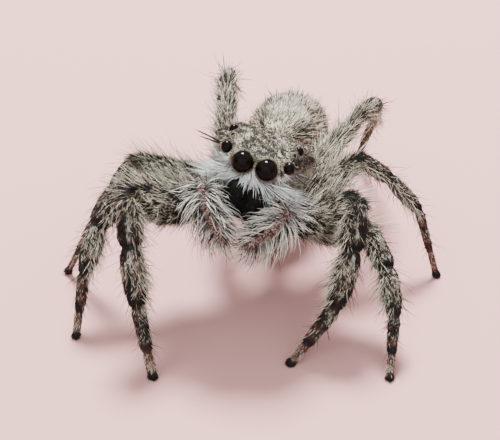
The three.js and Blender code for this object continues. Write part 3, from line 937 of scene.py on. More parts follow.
class Tufts:
    """Roots of hairs with the skin's normal there, and what is decided about each hair."""

    def __init__(self, rng, roots, normals, region):
        self.rng = rng
        self.roots = roots
        self.normals = normals
        self.region = region
        self.tone, self.warmth, self.chill = markings(roots, region)
        self.count = len(roots)

    def keep(self, mask):
        for key, value in list(vars(self).items()):
            if isinstance(value, np.ndarray) and len(value) == self.count:
                setattr(self, key, value[mask])
        self.count = int(mask.sum())

    def lay(self, direction, lift, spread, settle=0.4, swirl=0.0):
        """Lays the hairs along a direction, lifted off the skin and fanned by angles in radians.

        swirl turns neighbouring hairs together, so that the coat breaks into tufts."""
        flat = direction - self.normals * (direction * self.normals).sum(axis=1, keepdims=True)
        flat = unit(flat)
        across = np.cross(self.normals, flat)
        turn = self.rng.normal(0, spread, self.count)
        turn += swirl * 2 * (value_noise(self.roots, 0.17, 41) + value_noise(self.roots, 0.09, 42) - 1)
        turn = turn[:, None]
        flat = flat * np.cos(turn) + across * np.sin(turn)
        angle = np.clip(self.rng.normal(lift, lift * 0.3, self.count), 0.02, 1.5)[:, None]
        self.aim = flat * np.cos(angle) + self.normals * np.sin(angle)
        low = angle * (1 - settle)
        self.end = flat * np.cos(low) + self.normals * np.sin(low)

    def size(self, length, width, variation=0.25):
        self.length = length * np.clip(self.rng.normal(1, variation, self.count), 0.5, 1.7)
        self.width = width * np.clip(self.rng.normal(1, 0.2, self.count), 0.6, 1.5)

    def paint(self, contrast=0.75, reach=0.5):
        """Colours the hairs by the markings under their middles, most of them pale or dark."""
        places = self.roots + self.aim * self.length[:, None] * reach
        self.tone, self.warmth, self.chill = markings(places, self.region)
        pale = self.rng.random(self.count) < self.tone
        picked = np.where(pale, self.rng.uniform(0.72, 1, self.count), self.rng.uniform(0, 0.3, self.count))
        self.tone = self.tone * (1 - contrast) + picked * contrast
        self.chill = self.chill * pale

    def vary(self, amount):
        self.tone = np.clip(self.tone + self.rng.normal(0, amount, self.count), 0, 1)

    def stop_at_floor(self):
        """Shortens the hairs whose tips would pass through the ground."""
        drop = self.length * np.maximum(-(self.aim + self.end)[:, 2] / 2, 1e-6)
        room = np.maximum(self.roots[:, 2] - HAIR_CLEARANCE, HAIR_CLEARANCE)
        self.length = self.length * np.minimum(room / drop, 1)


def unwrap_limb(limb):
    """Lays a limb's skin out flat: along it, and round it."""
    segments = len(limb.lengths)

    def lay_out(roots):
        segment, share, angle = limb.place(roots)
        return np.stack([(segment + share) / segments, angle / (2 * math.pi) + 0.5], axis=1)

    return lay_out


def unwrap_round(into, length):
    """Lays a body's skin out flat: round its own axis, and along it."""

    def lay_out(roots):
        x, y, z = into(roots).T
        return np.stack([np.arctan2(x, z) / (2 * math.pi) + 0.5, y / length], axis=1)

    return lay_out


def unwrap_face(roots):
    """Lays the skin of the face out flat, across and down, with its curve at the sides let out."""
    x, y, z = in_body(roots).T
    return np.stack([0.5 + (x + np.sign(x) * np.maximum(y, 0) * 0.7) / 5, 0.5 + z / 4], axis=1)


def sow(rng, hide, mine, density):
    """Hairs at random places of the skin that the mask picks, this many to the square millimetre."""
    return Tufts(rng, *hide.scatter(rng, np.where(mine, density, 0)))


PATCH = 0.003  # size of one hair on the flat layout of the skin
HAIR_CLEARANCE = 0.01  # tips of hairs stay this far above the ground


def ring_profile(rows):
    """(share along, girth) of each ring of a hair."""
    if rows == 1:
        return [(0.42, 1.0)]
    return [((k + 0.3) / rows, 1 - 0.62 * ((k + 0.3) / rows) ** 1.5) for k in range(rows)]


def grow_hairs(name, groups, unwrap, material):
    """One mesh of many closed, tapered, bent hairs. groups is a list of (tufts, rows, flatness)."""
    vertices, faces, layers, layout = [], [], {"tone": [], "warmth": [], "chill": [], "tip": []}, []
    first = 0
    for tufts, rows, flatness in groups:
        tufts.stop_at_floor()
        profile = ring_profile(rows)
        per_hair = 3 * rows + 2
        shares = [0.0] + [share for share, _ in profile for _ in range(3)] + [1.0]
        points = np.zeros((tufts.count, per_hair, 3))
        offsets = np.zeros((tufts.count, per_hair, 2))
        length = tufts.length[:, None]

        def centre_line(share):
            return tufts.roots + length * (tufts.aim * share + (tufts.end - tufts.aim) * share**2 / 2)

        points[:, 0] = tufts.roots - tufts.aim * np.minimum(length * 0.2, 0.03)
        points[:, -1] = centre_line(1.0)
        for row, (share, girth) in enumerate(profile):
            along = unit(tufts.aim + (tufts.end - tufts.aim) * share)
            side = unit(np.cross(along, tufts.normals))
            up = np.cross(side, along)
            middle = centre_line(share)
            half = tufts.width[:, None] * girth / 2
            for corner in range(3):
                angle = math.pi / 2 + corner * 2 * math.pi / 3
                across = math.cos(angle) / math.cos(math.pi / 6)
                spot = 1 + 3 * row + corner
                points[:, spot] = middle + side * half * across + up * half * flatness * math.sin(angle)
                offsets[:, spot, 0] = across / 2
        offsets[:, :, 1] = np.array(shares) - 0.5
        template = [(0, 2, 1), (0, 3, 2), (0, 1, 3)]
        for row in range(rows - 1):
            a = 1 + 3 * row
            for i in range(3):
                j = (i + 1) % 3
                template += [(a + i, a + j, a + 3 + j), (a + i, a + 3 + j, a + 3 + i)]
        last = 1 + 3 * (rows - 1)
        template += [(last, last + 1, per_hair - 1), (last + 1, last + 2, per_hair - 1),
                     (last + 2, last, per_hair - 1)]
        starts = first + np.arange(tufts.count) * per_hair
        faces.append((starts[:, None, None] + np.array(template)[None]).reshape(-1, 3))
        first += tufts.count * per_hair
        vertices.append(points.reshape(-1, 3))
        patches = unwrap(tufts.roots)[:, None] * (1 - PATCH) + PATCH / 2 + offsets * PATCH
        layout.append(patches.reshape(-1, 2))
        for key in ("tone", "warmth", "chill"):
            layers[key].append(np.repeat(getattr(tufts, key), per_hair))
        layers["tip"].append(np.tile(shares, tufts.count))
    return mesh_piece(name, np.concatenate(vertices), np.concatenate(faces), layers,
                      np.concatenate(layout), material)


def mesh_piece(name, vertices, faces, layers, layout, material):
    """A piece of the coat from its points and triangles, with its layout as the map OFBake."""
    mesh = bpy.data.meshes.new(name)
    mesh.vertices.add(len(vertices))
    mesh.vertices.foreach_set("co", (vertices * MM).astype(np.float32).ravel())
    mesh.loops.add(faces.size)
    mesh.loops.foreach_set("vertex_index", faces.astype(np.int32).ravel())
    mesh.polygons.add(len(faces))
    mesh.polygons.foreach_set("loop_start", np.arange(0, faces.size, 3, dtype=np.int32))
    mesh.update(calc_edges=True)
    for key, values in layers.items():
        layer = mesh.attributes.new(key, "FLOAT", "POINT")
        layer.data.foreach_set("value", np.clip(np.concatenate(values), 0, 1).astype(np.float32))
    uv = mesh.uv_layers.new(name="OFBake")
    uv.data.foreach_set("uv", np.clip(layout, 0, 1)[faces.ravel()].astype(np.float32).ravel())
    piece = bpy.data.objects.new(name, mesh)
    bpy.context.scene.collection.objects.link(piece)
    return finish_piece(piece, material)


def coat_setup(context):
    colours = context.scene.spider_colours
    return context.scene.spider_coat, shared_material("spider hair", hair_material, colours), Hide()


def leg_lie(leg, roots):
    """The direction of the hairs of a limb: down it, and turning with it at its joints."""
    segment, share, _ = leg.place(roots)
    here = leg.along[segment]
    after = leg.along[np.minimum(segment + 1, len(leg.along) - 1)]
    turn = smooth_step(share, 0.75, 1.15)[:, None]
    return unit(here * (1 - turn) + after * turn)


def stop_at_joints(leg, tufts):
    """Shortens the hairs just before each joint beyond the knee, which leaves the joint clear."""
    segment, share, _ = leg.place(tufts.roots)
    rest = (1 - share) * leg.lengths[segment]
    jointed = (segment > FEMUR) & (segment < TARSUS)
    tufts.length = np.where(jointed, np.minimum(tufts.length, np.maximum(rest + 0.02, 0.07)), tufts.length)


def shaded_bare_front(leg, points):
    """The almost bare front of the base of each front leg, painted dark: painted shade under the palp, where
    the femur's own lower face is also dark.
    """
    segment, share, angle = leg.place(points)
    return (segment == FEMUR) & (share < 0.46) & (angle > 1.0) & leg.name.endswith("1")


class SPIDER_OT_leg_coat(bpy.types.Operator):
    """The mottled coat of each leg, with its fringes and standing hairs"""
    bl_idname = "spider.leg_coat"
    bl_label = "Leg coats"

    def execute(self, context):
        coat, material, hide = coat_setup(context)
        for number, ((_, pair), leg) in enumerate(LEGS.items()):
            rng = np.random.default_rng(SEEDS["leg"] + number)
            mine = hide.where([name for name in FLESH_NODES if name.startswith(leg.name)])
            layers = (self.under_coat, self.strands, self.fringe, self.standing_hairs, self.foot_pad)
            under, strands, fringe, standing, pad = (layer(coat, hide, rng, leg, mine) for layer in layers)
            strand_rows = 2 if pair < 3 else 1
            groups = [(under, 1, 0.4), (strands, strand_rows, 0.7), (fringe, 2, 0.8), (standing, 3, 0.9),
                      (pad, 2, 0.8)]
            grow_hairs(f"coat_{leg.name}", groups, unwrap_limb(leg), material)
        return {"FINISHED"}

    @staticmethod
    def under_coat(coat, hide, rng, leg, mine):
        """Short flat scales close to the skin, mostly dark: their tone is cut as painted shade under the
        strands that lie over them.
        """
        tufts = sow(rng, hide, mine, coat.density * 0.6)
        segment, _, _ = leg.place(tufts.roots)
        small = np.choose(segment, (1.0, 0.9, 0.85, 0.7, 0.6))
        tufts.lay(leg_lie(leg, tufts.roots), 0.16, 0.3)
        tufts.size(coat.leg_scale / MM * 0.6 * small, coat.scale_width / MM)
        stop_at_joints(leg, tufts)
        tufts.paint(0.5)
        # Painted shade: the scales' tone is cut to about a third under the strands, and to black on the
        # shaded bare front of each front femur.
        tufts.tone = tufts.tone * np.where(shaded_bare_front(leg, tufts.roots), 0.0, 0.35)
        return tufts

    @staticmethod
    def strands(coat, hide, rng, leg, mine):
        """Thin bent strands that cross one another over the flat scales."""
        tufts = sow(rng, hide, mine, coat.density * 0.8)
        tufts.keep(~shaded_bare_front(leg, tufts.roots) | (rng.random(tufts.count) < 0.05))
        segment, _, _ = leg.place(tufts.roots)
        small = np.choose(segment, (1.12, 0.62, 0.6, 0.5, 0.48))
        lift = np.choose(segment, (0.45, 0.34, 0.34, 0.3, 0.25))
        tufts.lay(leg_lie(leg, tufts.roots), lift, 0.28, 0.6, np.choose(segment, (1.0, 0.7, 0.6, 0.45, 0.3)))
        slender = 0.4 + 0.6 * leg.girth / FRONT_GIRTH
        tufts.size(coat.leg_scale / MM * small * slender, coat.scale_width / MM * 0.6)
        stop_at_joints(leg, tufts)
        tufts.paint(0.9)
        segment, share, _ = leg.place(tufts.roots + tufts.aim * tufts.length[:, None] * 0.9)
        tufts.tone *= 1 - np.clip(bands(segment, share, RINGS) * (segment < TARSUS), 0, 1)
        return tufts

    @staticmethod
    def fringe(coat, hide, rng, leg, mine):
        """Long pale hairs: standing on the femur, hanging below it, and down the inside of the shin."""
        tufts = sow(rng, hide, mine, DENSITY["fringe"])
        segment, _, angle = leg.place(tufts.roots)
        ventral = smooth_step(np.abs(angle), 1.6, 2.2)
        dorsal = (1 - smooth_step(np.abs(angle), 0.5, 1.1)) * (segment == FEMUR)
        inside = smooth_step(angle, 1.3, 1.8) * np.isin(segment, (PATELLA, TIBIA)) * leg.girth / FRONT_GIRTH
        amount = np.choose(segment, (0.65, 0.3, 0.4, 0.2, 0.06))
        amount = np.where(shaded_bare_front(leg, tufts.roots), 0.05, amount)
        kept = rng.random(tufts.count) < amount * (0.12 + 0.88 * np.maximum(ventral, dorsal)) + 0.75 * inside
        segment, dorsal, inside = segment[kept], dorsal[kept], inside[kept]
        tufts.keep(kept)
        tufts.lay(leg_lie(leg, tufts.roots), 0.8, 0.3, 0.35, 0.3)
        length = np.choose(segment, (0.9, 0.75, 0.85, 0.5, 0.4)) * (1 + 0.75 * dorsal)
        tufts.size(coat.fringe_hair / MM * length, coat.hair_width / MM * 0.75)
        tufts.tone = np.where(rng.random(tufts.count) < 0.75 + 0.2 * inside, 0.88, 0.2)
        tufts.vary(0.1)
        tufts.warmth[:] = 0
        return tufts

    @staticmethod
    def standing_hairs(coat, hide, rng, leg, mine):
        """Long thin dark hairs that stand off the leg."""
        tufts = sow(rng, hide, mine, DENSITY["standing"])
        segment, _, _ = leg.place(tufts.roots)
        kept = segment < TARSUS
        segment = segment[kept]
        tufts.keep(kept)
        tufts.lay(leg_lie(leg, tufts.roots), 0.85, 0.35, 0.25)
        tufts.size(coat.fringe_hair / MM * np.choose(segment, (1.1, 1, 1, 0.75, 0.5)),
                   coat.hair_width / MM * 0.7, 0.35)
        tufts.tone = rng.uniform(0.05, 0.3, tufts.count)
        tufts.warmth[:] = 0
        return tufts

    @staticmethod
    def foot_pad(coat, hide, rng, leg, mine):
        """The dense dark pad of hairs at the tip of the foot, in two lobes."""
        tufts = sow(rng, hide, mine, DENSITY["foot pad"])
        segment, share, _ = leg.place(tufts.roots)
        tufts.keep((segment == TARSUS) & (share > 0.74))
        lobe = np.sign(rng.random(tufts.count) - 0.5)[:, None]
        tufts.lay(leg.along[-1] + lobe * leg.normal * 0.35, 0.35, 0.15, 0.6)
        tufts.size(HAIR_LENGTH["foot pad"], coat.hair_width / MM * 1.1)
        tufts.tone = rng.uniform(0.0, 0.24, tufts.count)
        tufts.warmth[:] = 0
        return tufts


class SPIDER_OT_palp_coat(bpy.types.Operator):
    """The long pale hairs of the palps, parted along the back"""
    bl_idname = "spider.palp_coat"
    bl_label = "Palp coats"

    def execute(self, context):
        coat, material, hide = coat_setup(context)
        for number, (side, palp) in enumerate(PALPS.items()):
            rng = np.random.default_rng(SEEDS["palp"] + number)
            mine = hide.where([name for name in FLESH_NODES if name.startswith(palp.name)])
            long_hairs = sow(rng, hide, mine, DENSITY["palp"])
            segment, share, angle = palp.place(long_hairs.roots)
            chance = smooth_step(np.abs(angle), 0.15, 0.7) * np.choose(segment, (0.8, 1, 1, 1))
            kept = rng.random(long_hairs.count) < chance
            long_hairs.keep(kept)
            segment, share, angle = segment[kept], share[kept], angle[kept]
            lie = leg_lie(palp, long_hairs.roots)
            rosette = (segment == 1)[:, None] * (1 - share[:, None])
            lie = lie * (1 - 1.5 * rosette) - 0.25 * BODY_AXES[2] * (segment > 1)[:, None]
            aside = (1 - smooth_step(np.abs(angle), 0.8, 1.6)) * np.sign(angle) * palp.turn
            lie = lie + 0.7 * aside[:, None] * palp.normal
            long_hairs.lay(lie, 1.05, 0.22, 0.8, 0.35)
            taper = np.where(segment == 3, 1 - 0.4 * share, 1)
            inner = smooth_step(angle * palp.turn * -SIDES[side], 0.3, 1.0)
            shape = taper * np.choose(segment, (0.8, 0.9, 1, 0.95)) * (1 + 0.4 * inner)
            long_hairs.size(coat.palp_hair / MM * shape, coat.hair_width / MM * 1.15, 0.2)
            pale = rng.random(long_hairs.count) < 0.64
            long_hairs.tone = np.where(pale, 0.9, 0.16)
            long_hairs.chill = np.where(pale, rng.uniform(0, 0.5, long_hairs.count), 0)
            long_hairs.vary(0.1)
            long_hairs.warmth[:] = 0
            short = sow(rng, hide, mine, DENSITY["palp parting"])
            _, _, angle = palp.place(short.roots)
            kept = rng.random(short.count) < 0.36 + 0.64 * (1 - smooth_step(np.abs(angle), 0.5, 0.8))
            short.keep(kept)
            angle = angle[kept]
            crossing = np.where(rng.random(short.count) < 0.35, -1, 1)
            sideways = (crossing * np.sign(angle) * palp.turn)[:, None] * palp.normal
            short.lay(sideways + leg_lie(palp, short.roots) * 0.6, 0.45, 0.5, 0.8)
            short.size(HAIR_LENGTH["palp parting"], coat.scale_width / MM * 0.5)
            parted = 1 - smooth_step(np.abs(angle), 0.6, 1.3)
            crack = smooth_step(value_noise(short.roots, 0.07, 53), 0.55, 0.7)
            crack *= 1 - smooth_step(np.abs(angle), 0.3, 0.6)
            dark = rng.random(short.count) < 0.25 + 0.65 * crack
            short.warmth = np.where(dark, 0.35, rng.uniform(0.2, 0.85, short.count)) * parted
            short.tone = np.where(dark, 0.1, 0.9)
            short.chill = np.where(dark, 0, 0.5 * parted)
            grow_hairs(f"coat_{palp.name}", [(long_hairs, 3, 0.8), (short, 1, 0.5)],
                       unwrap_limb(palp), material)
        return {"FINISHED"}


FACE_LEAN = 0.65  # by how much the hairs left of the middle are longer, where they fall over the jaw
RIM_WIDTH = 0.06  # of the ring of pale scales round each eye
RIM_TUCK = 0.012  # the ring's roots reach this far in under the eye


def near_eye(points):
    """Distance from each point to the surface of the nearest eye, and the way out from that eye."""
    best = np.full(len(points), np.inf)
    outward = np.zeros((len(points), 3))
    for kind in GAZES:
        for side in SIDES:
            centre, radius, gaze = eye_facts(kind, side)
            away = points - centre
            distance = np.linalg.norm(away, axis=1) - radius
            closer = distance < best
            best[closer] = distance[closer]
            radial = away - (away @ gaze)[:, None] * gaze
            outward[closer] = unit(radial)[closer]
    return best, outward


def face_share(body_points):
    """How much a point of the head belongs to the face, below the eyes and in front."""
    _, y, z = body_points.T
    return smooth_step(-z - 0.25 * np.maximum(y - 0.4, 0), -0.06, 0.1) * (1 - smooth_step(y, 0.8, 1.8))


class SPIDER_OT_head_coat(bpy.types.Operator):
    """Short mottled scales over the carapace, with paler and longer hairs down its sides"""
    bl_idname = "spider.head_coat"
    bl_label = "Head coat"

    def execute(self, context):
        coat, material, hide = coat_setup(context)
        rng = np.random.default_rng(SEEDS["head"])
        mine = hide.where(["carapace"])
        front = 1 - smooth_step(in_body(hide.middle)[:, 1], 1.2, 2.2)
        scales = sow(rng, hide, mine, coat.density * (1.15 + 1.25 * front))
        bare = rng.random(scales.count) < face_share(in_body(scales.roots)) * 1.6
        scales.keep(~bare & (near_eye(scales.roots)[0] > 0.04))
        body = in_body(scales.roots)
        clearance, outward = near_eye(scales.roots)
        back, down = BODY_AXES[1], -BODY_AXES[2]
        flank = smooth_step(np.abs(body[:, 0]), 0.9, 1.2)[:, None]
        lie = back * (1 - 0.5 * flank) + down * flank
        rim = (1 - smooth_step(clearance, 0.04, 0.14))[:, None]
        lie = unit(lie * (1 - rim) + outward * rim)
        behind = smooth_step(body[:, 1], 1.4, 2.6)
        scales.lay(lie, 0.22, 0.55)
        length = coat.head_scale / MM * (0.85 + 0.8 * behind + 0.6 * flank[:, 0])
        scales.size(length, coat.scale_width / MM * 0.85)
        scales.paint(0.8)
        scales.tone *= 0.96
        grow_hairs("coat_head", [(scales, 1, 0.5)], unwrap_round(in_body, HEAD_LAYOUT), material)
        return {"FINISHED"}


class SPIDER_OT_face_coat(bpy.types.Operator):
    """Long white hairs that sweep down and outwards from under the eyes, and the rims of the eyes"""
    bl_idname = "spider.face_coat"
    bl_label = "Face coat"

    def execute(self, context):
        coat, material, hide = coat_setup(context)
        rng = np.random.default_rng(SEEDS["face"])
        mine = hide.where(["carapace"])
        hairs = sow(rng, hide, mine, DENSITY["face"])
        share = face_share(in_body(hairs.roots))
        clearance, _ = near_eye(hairs.roots)
        hairs.keep((rng.random(hairs.count) < share * 1.4) & (clearance > 0.02))
        x, y, z = in_body(hairs.roots).T
        outwards = np.clip(x / 0.7 + 0.25 * bump_at(x, 0.2, 0.3), -1.4, 1.4)
        outwards = (outwards + rng.normal(0, 0.12, hairs.count))[:, None]
        backwards = (-0.12 + 1.1 * smooth_step(np.abs(x), 0.7, 1.15))[:, None]
        lie = BODY_AXES[0] * outwards - BODY_AXES[2] + BODY_AXES[1] * backwards
        hairs.lay(lie, 0.42, 0.16, 0.6, 0.75)
        depth = smooth_step(-z, 0.1, 0.5)
        flank = smooth_step(np.abs(x) + 0.4 * np.maximum(y, 0), 0.8, 1.2)
        shape = (1 - 0.3 * bump_at(x, 0, 0.18)) * (1 + 0.45 * bump_at(np.abs(x), 0.5, 0.25))
        shape *= (1 - 0.35 * flank) * (1 + FACE_LEAN * bump_at(x, 0.3, 0.3))
        hairs.size(coat.face_hair / MM * (0.4 + 0.95 * depth) * shape, coat.hair_width / MM * 1.05, 0.3)
        hairs.tone = np.clip(0.84 + 0.12 * depth + rng.normal(0, 0.14, hairs.count), 0, 1)
        hairs.tone = hairs.tone * (1 - 0.3 * flank)
        hairs.chill = np.clip(1 - 0.4 * np.abs(x) - 0.4 * flank + rng.normal(0, 0.12, hairs.count), 0, 1)
        clump = value_noise(hairs.roots, 0.1, 51) + 0.6 * value_noise(hairs.roots, 0.05, 52)
        chance = 0.08 + 0.35 * flank + 0.7 * smooth_step(clump, 0.75, 1.1) * smooth_step(np.abs(x), 0, 0.8)
        dark = rng.random(hairs.count) < chance
        hairs.tone[dark] = rng.uniform(0.2, 0.6, dark.sum())
        hairs.chill[dark] = 0.1
        rims = self.rims(coat, hide, rng, mine)
        grow_hairs("coat_face", [(hairs, 2, 0.8), (rims, 1, 0.6)], unwrap_face, material)
        return {"FINISHED"}

    @staticmethod
    def rims(coat, hide, rng, mine):
        """Short pale scales that lie close round each eye."""
        beside = mine & (near_eye(hide.middle)[0] < RIM_WIDTH + 0.03)
        tufts = sow(rng, hide, beside, DENSITY["eye rim"])
        clearance, _ = near_eye(tufts.roots)
        tufts.keep((clearance > -RIM_TUCK) & (clearance < RIM_WIDTH))
        _, outward = near_eye(tufts.roots)
        round_eye = np.cross(outward, tufts.normals) * rng.normal(0, 0.7, (tufts.count, 1))
        tufts.lay(outward + round_eye, 0.4, 0.2, 0.4)
        tufts.size(HAIR_LENGTH["eye rim"], coat.scale_width / MM * 0.55)
        tufts.tone = rng.uniform(0.5, 0.85, tufts.count)
        tufts.warmth = rng.uniform(0, 0.08, tufts.count)
        tufts.chill[:] = 0
        return tufts


class SPIDER_OT_abdomen_coat(bpy.types.Operator):
    """The coat of the abdomen, with its pale scalloped band, and of the spinnerets and waist"""
    bl_idname = "spider.abdomen_coat"
    bl_label = "Abdomen coat"

    def execute(self, context):
        coat, material, hide = coat_setup(context)
        rng = np.random.default_rng(SEEDS["abdomen"])
        mine = hide.where(HIND_NODES)
        flat = sow(rng, hide, mine, coat.density)
        flat.lay(np.tile(ABDOMEN_AXES[1], (flat.count, 1)), 0.3, 0.35)
        flat.size(coat.abdomen_scale / MM, coat.scale_width / MM)
        flat.paint(0.6)
        long_hairs = sow(rng, hide, mine, DENSITY["abdomen"])
        long_hairs.lay(np.tile(ABDOMEN_AXES[1], (long_hairs.count, 1)), 0.75, 0.3, 0.4)
        long_hairs.size(HAIR_LENGTH["abdomen"], coat.hair_width / MM * 0.8)
        long_hairs.tone = np.where(rng.random(long_hairs.count) < 0.6, 0.85, 0.15)
        grow_hairs("coat_abdomen", [(flat, 1, 0.5), (long_hairs, 2, 0.8)],
                   unwrap_round(in_abdomen, ABDOMEN_LAYOUT), material)
        return {"FINISHED"}


class SPIDER_OT_underside_coat(bpy.types.Operator):
    """Pale hairs of the sternum and mouthparts"""
    bl_idname = "spider.underside_coat"
    bl_label = "Underside coat"

    def execute(self, context):
        coat, material, hide = coat_setup(context)
        rng = np.random.default_rng(SEEDS["underside"])
        mine = hide.where(["sternum", "mouthparts"])
        hairs = sow(rng, hide, mine, DENSITY["underside"])
        hairs.lay(np.tile(BODY_AXES[1], (hairs.count, 1)), 0.35, 0.4)
        hairs.size(HAIR_LENGTH["underside"], coat.scale_width / MM)
        hairs.paint(0.6)
        hairs.tone *= 0.3 + 0.7 * smooth_step(in_body(hairs.roots)[:, 1], 0.8, 1.6)
        grow_hairs("coat_underside", [(hairs, 1, 0.5)], unwrap_round(in_body, HEAD_LAYOUT), material)
        return {"FINISHED"}


class SPIDER_OT_jaw_coat(bpy.types.Operator):
    """Fine dark hairs down the front of the jaws"""
    bl_idname = "spider.jaw_coat"
    bl_label = "Jaw coat"

    def execute(self, context):
        coat, material, _ = coat_setup(context)
        rng = np.random.default_rng(SEEDS["jaw"])
        groups = []
        for side in SIDES:
            top, bottom = long_axis(f"chelicera_{side}")
            along = unit(bottom - top)
            front = unit(-BODY_AXES[1] + along * (BODY_AXES[1] @ along))
            across = np.cross(front, along)
            share = rng.uniform(0.05, 0.9, JAW_HAIRS)
            turn = rng.normal(0, 0.9, JAW_HAIRS)[:, None]
            normal = front * np.cos(turn) + across * np.sin(turn)
            half = np.interp(share, *np.array(JAW_RINGS).T)[:, None]
            roots = top + along * (share * np.linalg.norm(bottom - top))[:, None] + normal * half * 0.97
            region = np.full(JAW_HAIRS, FLESH_NODES.index("mouthparts"))
            hairs = Tufts(rng, roots, normal, region)
            hairs.lay(np.tile(along, (JAW_HAIRS, 1)), 0.4, 0.35)
            hairs.size(HAIR_LENGTH["jaw"], coat.hair_width / MM * 0.8)
            hairs.tone = np.where(rng.random(JAW_HAIRS) < 0.05, 0.4, 0.03)
            hairs.warmth[:], hairs.chill[:] = 0, 0
            groups.append((hairs, 2, 0.8))
        grow_hairs("coat_jaws", groups, unwrap_face, material)
        return {"FINISHED"}


# Strong dark bristles of the head: side, root (across, back, up), the way the root points and
# the way the tip points (out, back, up), length, and girth against a long hair.
HEAD_BRISTLES = (
    (-1, (1.12, 0.42, 0.16), (1.0, -0.1, 0.25), (1.0, -0.1, 0.1), 0.8, 3.4),
    (-1, (1.14, 0.46, 0.1), (1.0, -0.1, 0.1), (1.0, -0.1, 0.0), 0.62, 3.2),
    (-1, (1.0, 0.6, 0.36), (0.8, 0.0, 0.6), (0.5, 0.2, 0.9), 0.6, 1.1),
    (-1, (1.2, 1.0, 0.25), (0.8, 0.1, 0.75), (0.6, 0.1, 0.9), 0.7, 1.1),
    (1, (1.14, 0.42, 0.02), (1.0, -0.3, 0.15), (1.0, -0.1, -0.25), 0.85, 2.2),
    (1, (1.12, 0.45, -0.08), (1.0, -0.5, -0.1), (0.9, -0.3, -0.5), 0.6, 1.7),
    (1, (1.22, 0.9, 0.1), (1.0, -0.2, 0.2), (0.5, -0.1, 1.0), 0.8, 2.0),
    (1, (1.2, 1.0, 0.2), (0.9, -0.2, 0.3), (0.5, 0.0, 0.9), 0.4, 1.2),
    (1, (0.3, 0.05, 0.34), (0.1, -0.6, 0.8), (0.3, -0.6, 0.6), 0.3, 1.0),
    (-1, (0.3, 0.05, 0.34), (0.1, -0.6, 0.8), (0.3, -0.6, 0.6), 0.3, 1.0),
    (-1, (0.05, 0.1, 0.34), (0.1, -0.5, 0.8), (0.2, -0.6, 0.6), 0.26, 1.0),
)


class SPIDER_OT_bristles(bpy.types.Operator):
    """Strong bristles beside the eyes and fine dark hairs that stand on the head"""
    bl_idname = "spider.bristles"
    bl_label = "Bristles"

    def execute(self, context):
        coat, material, hide = coat_setup(context)
        rng = np.random.default_rng(SEEDS["bristle"])
        fine = sow(rng, hide, hide.where(["carapace"]), DENSITY["bristle"])
        body = in_body(fine.roots)
        clearance, _ = near_eye(fine.roots)
        fine.keep((body[:, 2] > -0.1) & (clearance > 0.05))
        upright = BODY_AXES[2] * 0.5 - BODY_AXES[1] * 0.3 + rng.normal(0, 0.4, (fine.count, 3))
        fine.lay(upright, 1.1, 0.3, 0.2)
        fine.size(HAIR_LENGTH["bristle"], coat.hair_width / MM * 0.7)
        fine.tone = rng.uniform(0, 0.2, fine.count)
        fine.chill[:] = 0
        strong = self.strong_bristles(coat, rng)
        groups = [(fine, 3, 0.9), (strong, 4, 1.0)]
        grow_hairs("bristles", groups, unwrap_round(in_body, HEAD_LAYOUT), material)
        return {"FINISHED"}

    @staticmethod
    def strong_bristles(coat, rng):
        side = np.array([[row[0], 1, 1] for row in HEAD_BRISTLES])
        root, start, end = (np.array([row[k] for row in HEAD_BRISTLES]) * side @ BODY_AXES for k in (1, 2, 3))
        length, girth = np.array([row[4:] for row in HEAD_BRISTLES]).T
        region = np.full(len(root), FLESH_NODES.index("carapace"))
        tufts = Tufts(rng, BODY_ORIGIN + root, unit(np.cross(unit(start), BODY_AXES[1])), region)
        tufts.aim, tufts.end = unit(start), unit(end)
        tufts.length = length
        tufts.width = coat.hair_width / MM * girth
        tufts.tone = np.full(len(root), 0.1)
        tufts.chill = np.zeros(len(root))
        return tufts


# --- Eyes, jaws, claws ---------------------------------------------------------------------


EYE_FRONT = 0.25  # the ball of an eye reaches back this share of its radius
EYE_TAPER = (0.86, 0.86, 0.7)  # how far what lies behind that is drawn in


class SPIDER_OT_eyes(bpy.types.Operator):
    """Eight domed, polished eyes, each seated in its rim"""
    bl_idname = "spider.eyes"
    bl_label = "Eyes"

    def execute(self, context):
        colours = context.scene.spider_colours
        material = shared_material("spider eye", eye_material, colours)
        for kind in GAZES:
            for side in SIDES:
                centre, radius, gaze = eye_facts(kind, side)
                leave_edit_mode()
                bpy.ops.object.select_all(action="DESELECT")
                bpy.ops.mesh.primitive_uv_sphere_add(segments=40, ring_count=24, radius=radius)
                eye = bpy.context.object
                eye.name = eye.data.name = f"cornea_{kind}_{side}"
                bpy.ops.object.mode_set(mode="EDIT")
                bpy.ops.mesh.select_all(action="DESELECT")
                bpy.ops.object.mode_set(mode="OBJECT")
                for face in eye.data.polygons:
                    face.select = face.center.z < -EYE_FRONT * radius
                bpy.ops.object.mode_set(mode="EDIT")
                bpy.ops.mesh.select_mode(type="FACE")
                bpy.ops.transform.resize(value=EYE_TAPER, center_override=(0, 0, -EYE_FRONT * radius))
                bpy.ops.object.mode_set(mode="OBJECT")
                stand(eye, facing(centre, gaze))
                to_metres(eye)
                finish_piece(eye, material, [f"eye_{kind}_{side}"])
        return {"FINISHED"}


def long_axis(name):
    """The ends of a solid's long axis, the higher one first."""
    points = node_points(name)
    middle = points.mean(axis=0)
    axis = np.linalg.svd(points - middle)[2][0]
    axis *= -np.sign(axis[2])
    heights = (points - middle) @ axis
    return middle + axis * heights.min(), middle + axis * heights.max()


JAW_HAIRS = 700
JAW_RINGS = ((0.0, 0.2), (0.06, 0.25), (0.2, 0.28), (0.4, 0.285), (0.6, 0.275), (0.78, 0.24),
             (0.9, 0.19), (0.97, 0.13), (1.0, 0.05))
FANG_RINGS = ((0.0, 0.085), (0.25, 0.08), (0.5, 0.066), (0.75, 0.045), (0.93, 0.02), (1.0, 0.006))


